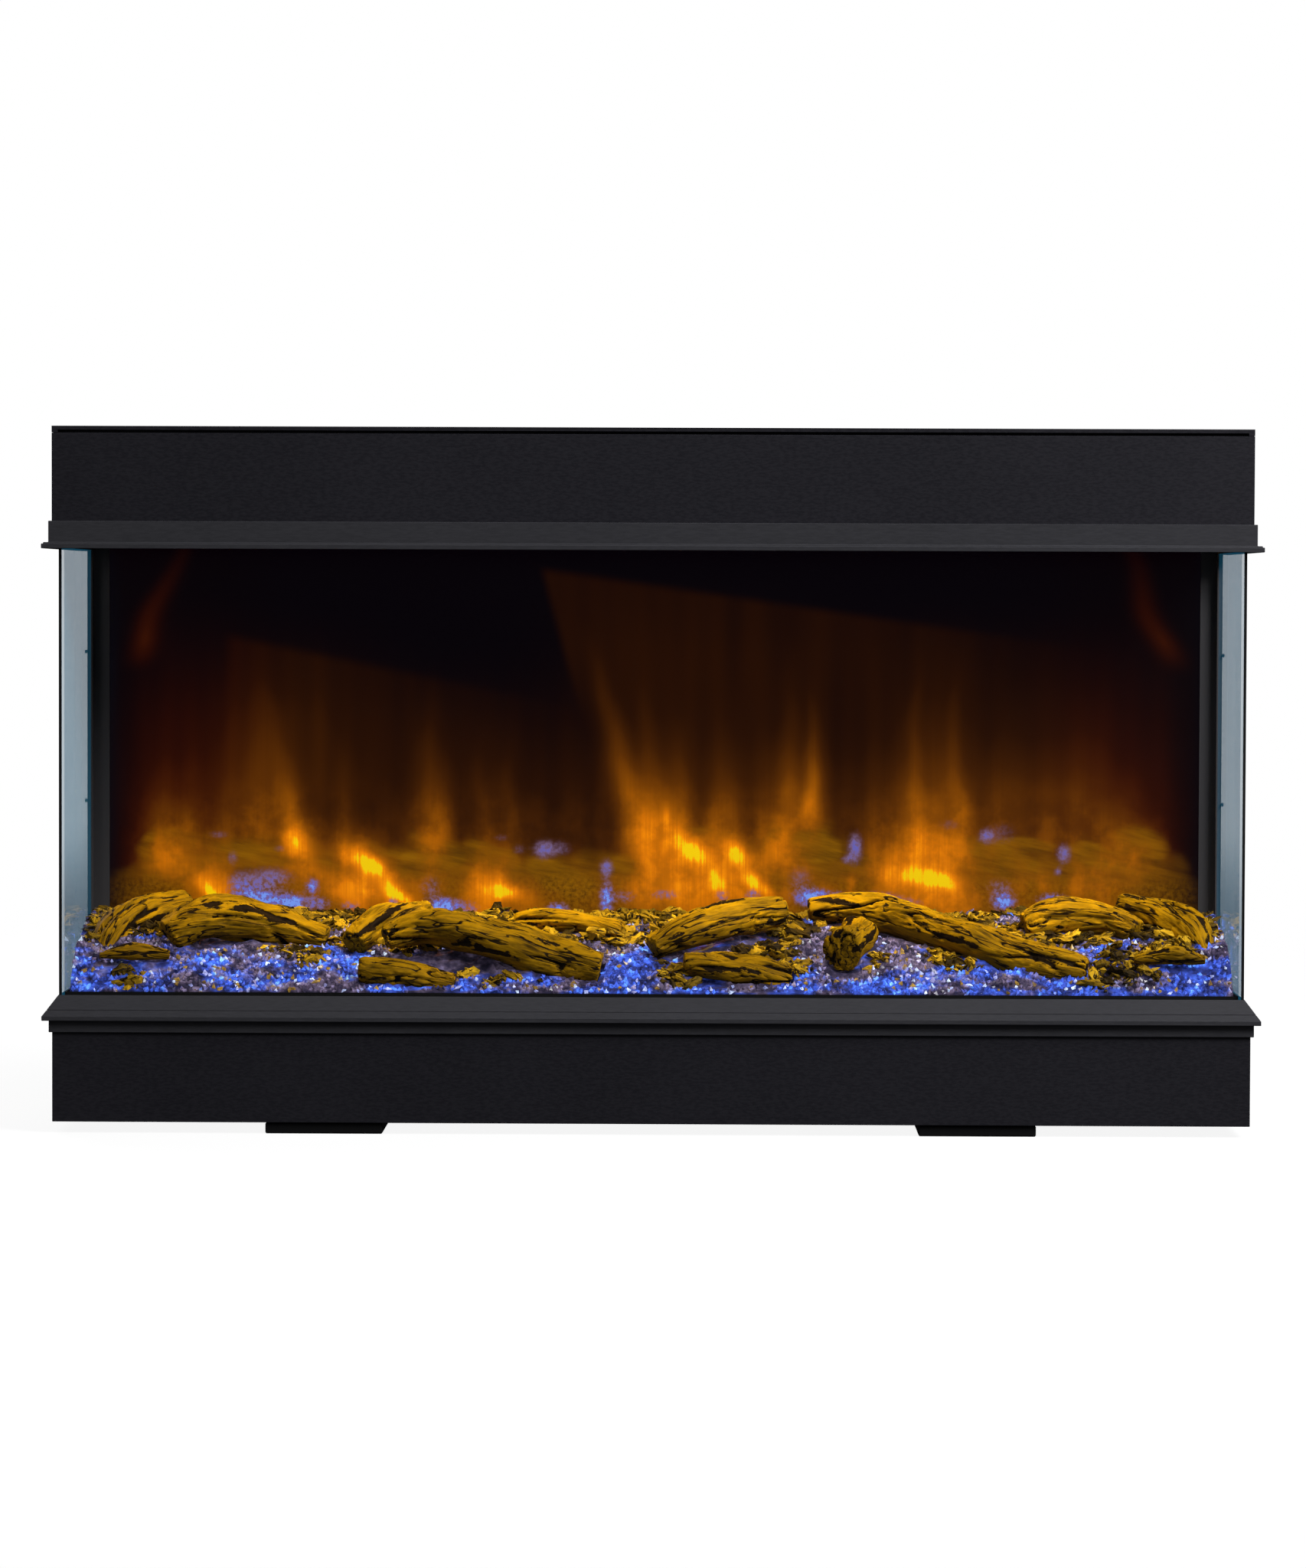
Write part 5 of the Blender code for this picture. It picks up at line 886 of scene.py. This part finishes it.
def bed_surface():
    """The heap's own surface and, for the chips, the part of it that shows clear of the logs."""
    heap = merged_copy("crystal_bed")
    work = bmesh.new()
    work.from_mesh(heap)
    top = [edge for edge in work.edges if all(face.normal.z > TOP_SLOPE for face in edge.link_faces)]
    bmesh.ops.subdivide_edges(work, edges=top, cuts=2, use_grid_fill=True)
    bmesh.ops.triangulate(work, faces=work.faces)
    for vertex in work.verts:
        if edge_gap(vertex.co) > HEAP_ROUGHNESS and vertex.normal.z > TOP_SLOPE:
            vertex.co.z += HEAP_ROUGHNESS * noise.noise(vertex.co * 260)
    work.to_mesh(heap)
    tint = heap.attributes.new("tint", "FLOAT", "POINT")
    for vertex in heap.vertices:
        tint.data[vertex.index].value = 0.18 + 0.3 * abs(noise.noise(vertex.co * 300))
    logs = [log_tree(name) for name in LOG_NAMES]
    open_faces = []
    end_faces = []
    for face in work.faces:
        corners = [vertex.co.copy() for vertex in face.verts]
        start = face.calc_center_median() + Vector((0, 0, 0.002))
        covered = any(tree.ray_cast(start, Vector((0, 0, 1)), LOG_REACH_OVER_BED)[0] for tree in logs)
        if face.normal.z > CHIP_SLOPE and not covered:
            open_faces.append(corners)
        elif abs(face.normal.x) > 0.8:
            end_faces.append([corner - face.normal * CHIP_END_SINK for corner in corners])
    work.free()
    return heap, open_faces, end_faces


def scatter_base(name, faces, clearance, lift, wanted, always):
    """A lifted mesh of the wanted faces that lie clear of the bed's edges, and of the others given."""
    points = [corner for corners in always for corner in corners]
    for corners in faces:
        place = sum(corners, Vector()) / 3
        share = (place.y - BED_LOW.y) / (BED_HIGH.y - BED_LOW.y)
        if edge_gap(place) > clearance and wanted(Vector((place.x, place.y, 0)), share):
            points += [corner + Vector((0, 0, lift)) for corner in corners]
    return plain_mesh(name, points, [(index, index + 1, index + 2) for index in range(0, len(points), 3)])


def scatter_tree():
    """Scatters angular chips over a surface, each turned, stretched, chipped and tinted by chance."""
    tree, given, result = new_tree("GeometryNodeTree", "scatter_chips", {
        "Surface": "Geometry", **CHIPS, "Finish": "Material"}, {"Chips": "Geometry"})
    points = made(tree, "GeometryNodeDistributePointsOnFaces", {
        "Mesh": given["Surface"], "Distance Min": given["Spacing"], "Density Max": GREATEST_DENSITY,
        "Seed": given["Seed"]}, distribute_method="POISSON")
    ball = made(tree, "GeometryNodeMeshUVSphere", {
        "Radius": given["Radius"], "Segments": given["Sides"], "Rings": times(given["Sides"], 0.5)})
    place = made(tree, "GeometryNodeInputPosition")
    chip = made(tree, "GeometryNodeStoreNamedAttribute", {
        "Geometry": ball, "Name": "grain", "Value": place}, data_type="FLOAT_VECTOR", domain="POINT")
    tilt = given["Tilt"]
    back = times(tilt, -1.0)
    turn = made(tree, "FunctionNodeRandomValue", {
        0: vector_of(tree, back, back, -math.pi), 1: vector_of(tree, tilt, tilt, math.pi),
        "Seed": given["Seed"]}, data_type="FLOAT_VECTOR")
    size = made(tree, "FunctionNodeRandomValue", {
        0: given["Least Size"], 1: given["Greatest Size"], "Seed": SIZE_SEED}, data_type="FLOAT_VECTOR")
    placed = made(tree, "GeometryNodeInstanceOnPoints", {
        "Points": points, "Instance": chip, "Rotation": turn, "Scale": size})
    tint = add_node(tree, "FunctionNodeRandomValue", {
        2: 0.0, 3: 1.0, "Seed": TINT_SEED}, data_type="FLOAT").outputs[1]
    tinted = made(tree, "GeometryNodeStoreNamedAttribute", {
        "Geometry": placed, "Name": "tint", "Value": tint}, data_type="FLOAT", domain="INSTANCE")
    real = made(tree, "GeometryNodeRealizeInstances", {0: tinted})
    rough = add_node(tree, "ShaderNodeTexNoise", {"Vector": place, "Scale": 330.0, "Detail": 1.0})
    centred = vector_math(tree, "SUBTRACT", {0: rough.outputs["Color"], 1: (0.5, 0.5, 0.5)})
    shift = vector_math(tree, "SCALE", {0: centred, "Scale": given["Raggedness"]})
    chipped = made(tree, "GeometryNodeSetPosition", {"Geometry": real, "Offset": shift})
    flat = made(tree, "GeometryNodeSetShadeSmooth", {"Geometry": chipped, "Shade Smooth": False})
    dressed = made(tree, "GeometryNodeSetMaterial", {"Geometry": flat, "Material": given["Finish"]})
    join(dressed, result[0])
    return tree


def grown_mesh(tree, base, inputs):
    """The plain mesh that a geometry tree makes from a base mesh."""
    holder = put_in_scene(tree.name + "_holder", base)
    change = holder.modifiers.new(tree.name, "NODES")
    change.node_group = tree
    sockets = {item.name: item.identifier for item in tree.interface.items_tree
               if item.item_type == "SOCKET" and item.in_out == "INPUT"}
    for name, value in inputs.items():
        change[sockets[name]] = value
    return evaluated_mesh(holder)


def splinters_lie(place, share):
    """Whether splinters lie at a place on the bed: seldom at its front, and in drifts behind."""
    return share > 0.34 + 0.9 * noise.noise(place * 17) and noise.noise(place * 31) > -0.3


def build_bed():
    """The heap, the crushed glass over it, and the splinters and bark between the logs."""
    heap, faces, ends = bed_surface()
    heap.materials.clear()
    # The heap under the chips has a dimmer painted glow
    heap.materials.append(crystal_finish("crushed_glass_depth", 0.35))
    heap.name = "crystal_heap"
    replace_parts(add_piece("crystal_heap", heap), "crystal_bed")
    tree = scatter_tree()
    for name, values, clearance, lift, wanted, always, finish, slot in (
            ("crushed_glass", CHIPS, CHIP_CLEARANCE, 0,
             lambda place, share: not splinters_lie(place, share - CHIP_OVERLAP),
             ends, FINISHES["crystal"], "crystal"),
            ("wood_splinters", SPLINTERS, SPLINTER_CLEARANCE, SPLINTER_LIFT, splinters_lie,
             (), SPLINTER, "driftwood"),
            ("bark_pieces", BARK, BARK_CLEARANCE, SPLINTER_LIFT,
             lambda place, share: splinters_lie(place, share - BARK_MARGIN), (), SPLINTER, "driftwood")):
        base = scatter_base(name + "_bed", faces, clearance, lift, wanted, always)
        mesh = grown_mesh(tree, base, {**values, "Finish": finish})
        mesh.name = name
        add_piece(name, mesh)


# Screws and clips
SCREW = {"Radius": 0.0033, "Height": 0.0018, "Recess Width": 0.0009, "Recess Length": 0.0038,
         "Recess Depth": 0.0012}
CLIP_SIZE = (0.0018, 0.006, 0.0032)
CLIP_LEVELS = (0.3904, 0.2605)
PANEL_SHEET_REAR = PANEL_REAR - 0.003
PANEL_SCREW_INSET = 0.012
PANEL_SCREW_COLUMNS = (-0.47, -0.2, 0.2, 0.47)
PANEL_SCREW_SHARES = (0.25, 0.5, 0.75)
PAN_SCREW_COLUMNS = (-0.46, -0.15, 0.15, 0.46)
PAN_SCREW_INSET = 0.02


def screw_tree():
    """Pan-head screws with a cross recess, one on each point, facing the way that is asked."""
    tree, given, result = new_tree("GeometryNodeTree", "set_screws", {
        "Places": "Geometry", **SCREW, "Facing": (0, 0, 1), "Finish": "Material"},
        {"Screws": "Geometry"})
    recessed = made(tree, "GeometryNodeMeshCone", {
        "Vertices": 20, "Side Segments": 1, "Radius Top": times(given["Radius"], 0.62),
        "Radius Bottom": given["Radius"], "Depth": given["Height"]})
    lift = vector_of(tree, 0.0, 0.0, given["Height"])
    depth = times(given["Recess Depth"], 2.0)
    for first, second in (("Recess Length", "Recess Width"), ("Recess Width", "Recess Length")):
        bar = made(tree, "GeometryNodeMeshCube", {
            "Size": vector_of(tree, given[first], given[second], depth)})
        raised = made(tree, "GeometryNodeTransform", {"Geometry": bar, "Translation": lift})
        recessed = made(tree, "GeometryNodeMeshBoolean", {
            "Mesh 1": recessed, "Mesh 2": raised}, operation="DIFFERENCE")
    points = made(tree, "GeometryNodeMeshToPoints", {"Mesh": given["Places"]})
    facing = made(tree, "FunctionNodeAlignRotationToVector", {"Vector": given["Facing"]}, axis="Z")
    placed = made(tree, "GeometryNodeInstanceOnPoints", {
        "Points": points, "Instance": recessed, "Rotation": facing})
    real = made(tree, "GeometryNodeRealizeInstances", {0: placed})
    dressed = made(tree, "GeometryNodeSetMaterial", {"Geometry": real, "Material": given["Finish"]})
    join(dressed, result[0])
    return tree


def build_screws():
    """Screws round the back panel and under the base pan."""
    low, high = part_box("back_panel")
    inset = PANEL_SCREW_INSET
    on_panel = [(x, PANEL_SHEET_REAR, z) for z in (low.z + inset, high.z - inset)
                for x in PANEL_SCREW_COLUMNS]
    on_panel += [(side * (high.x - inset), PANEL_SHEET_REAR, low.z + (high.z - low.z) * share)
                 for side in (-1, 1) for share in PANEL_SCREW_SHARES]
    on_pan = [(x, y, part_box("base_pan")[0].z) for x in PAN_SCREW_COLUMNS
              for y in (CASING_FRONT + PAN_SCREW_INSET, PANEL_REAR - PAN_SCREW_INSET)]
    tree = screw_tree()
    for name, places, facing in (("back_panel_screws", on_panel, (0, 1, 0)),
                                 ("base_pan_screws", on_pan, (0, 0, -1))):
        base = plain_mesh(name + "_places", places)
        add_piece(name, grown_mesh(tree, base, {"Facing": facing, "Finish": SCREW_STEEL}))


def build_clips():
    """Small folded clips on the pillars that hold the rear edges of the side panes."""
    work = bmesh.new()
    for side in (-1, 1):
        for level in CLIP_LEVELS:
            made = bmesh.ops.create_cube(work, size=1)["verts"]
            centre = Vector((side * (PANE_OUTER + CLIP_SIZE[0] / 2), PILLAR_FRONT, CASING_BASE + level))
            bmesh.ops.scale(work, vec=CLIP_SIZE, verts=made)
            bmesh.ops.translate(work, vec=centre, verts=made)
    bmesh.ops.bevel(work, geom=work.edges[:], offset=0.0005, segments=2, affect="EDGES")
    mesh = mesh_from(work, "pane_clips")
    mesh.materials.append(SCREW_STEEL)
    add_piece("pane_clips", mesh)


def build_stage():
    """A pale floor that fades out before its edge."""
    work = bmesh.new()
    bmesh.ops.create_grid(work, x_segments=1, y_segments=1, size=FLOOR_REACH)
    mesh = mesh_from(work, "floor")
    floor = put_in_scene("floor", mesh)
    material, tree = new_material("pale_floor")
    place = object_place(tree)
    mottle = noise_of(place, 3.0, 2.0)
    reach = add_node(tree, "ShaderNodeVectorMath", {0: place}, operation="LENGTH").outputs["Value"]
    finished(
        material, Base_Color=mix_colour(tree, mottle, (0.9, 0.9, 0.9), (0.93, 0.93, 0.93)),
        Alpha=remap(reach, FLOOR_REACH, FLOOR_REACH * 0.5, 0.0, FLOOR_WEIGHT), Roughness=0.9,
        Specular_IOR_Level=0.1)
    mesh.materials.append(material)


def add_lamp(name, place, aim, size, power, colour=(1, 1, 1)):
    lamp = bpy.data.lights.new(name, "AREA")
    lamp.shape = "RECTANGLE"
    lamp.size, lamp.size_y = size
    lamp.energy = power
    lamp.color = colour
    holder = put_in_scene(name, lamp)
    holder.location = place
    holder.rotation_euler = (Vector(aim) - Vector(place)).to_track_quat("-Z", "Y").to_euler()
    return holder


def build_lights():
    """Soft studio light, with the chamber's own lamps over the bed."""
    world = bpy.data.worlds.new("studio")
    world.use_nodes = True
    tree = world.node_tree
    seen = add_node(tree, "ShaderNodeLightPath").outputs["Is Camera Ray"]
    colour = mix_colour(tree, seen, (0.035, 0.036, 0.039), (1, 1, 1))
    join(colour, tree.nodes["Background"].inputs["Color"])
    bpy.context.scene.world = world
    for name, (place, size, power) in STUDIO_LAMPS.items():
        add_lamp(name, place, STUDIO_AIM, size, power)
    chamber = add_lamp("chamber", CHAMBER_LAMP_PLACE, CHAMBER_LAMP_AIM, CHAMBER_LAMP_SIZE, 1.2,
                       (1.0, 0.84, 0.56))
    chamber.data.spread = math.radians(CHAMBER_LAMP_SPREAD_DEG)
    chamber.visible_glossy = False


def build_camera():
    """The camera at the photograph's viewing angle."""
    azimuth = math.radians(CAMERA_AZIMUTH_DEG)
    elevation = math.radians(CAMERA_ELEVATION_DEG)
    back = Vector((math.sin(azimuth) * math.cos(elevation), -math.cos(azimuth) * math.cos(elevation),
                   math.sin(elevation)))
    right = Vector((math.cos(azimuth), math.sin(azimuth), 0))
    turn = Matrix((right, back.cross(right), back)).transposed().to_4x4() @ Matrix.Rotation(
        math.radians(CAMERA_ROLL_DEG), 4, "Z")
    lens = bpy.data.cameras.new("photograph_view")
    lens.lens = CAMERA_LENS_MM
    lens.clip_end = 100
    camera = put_in_scene("photograph_view", lens)
    camera.matrix_world = Matrix.Translation(Vector(CAMERA_AIM) + back * CAMERA_DISTANCE) @ turn
    bpy.context.scene.camera = camera


build_camera()
build_stage()
build_lights()
dress_nodes()
build_flame_picture()
build_driftwood()
build_bed()
build_clips()
build_screws()
bpy.context.scene.view_settings.view_transform = "Standard"
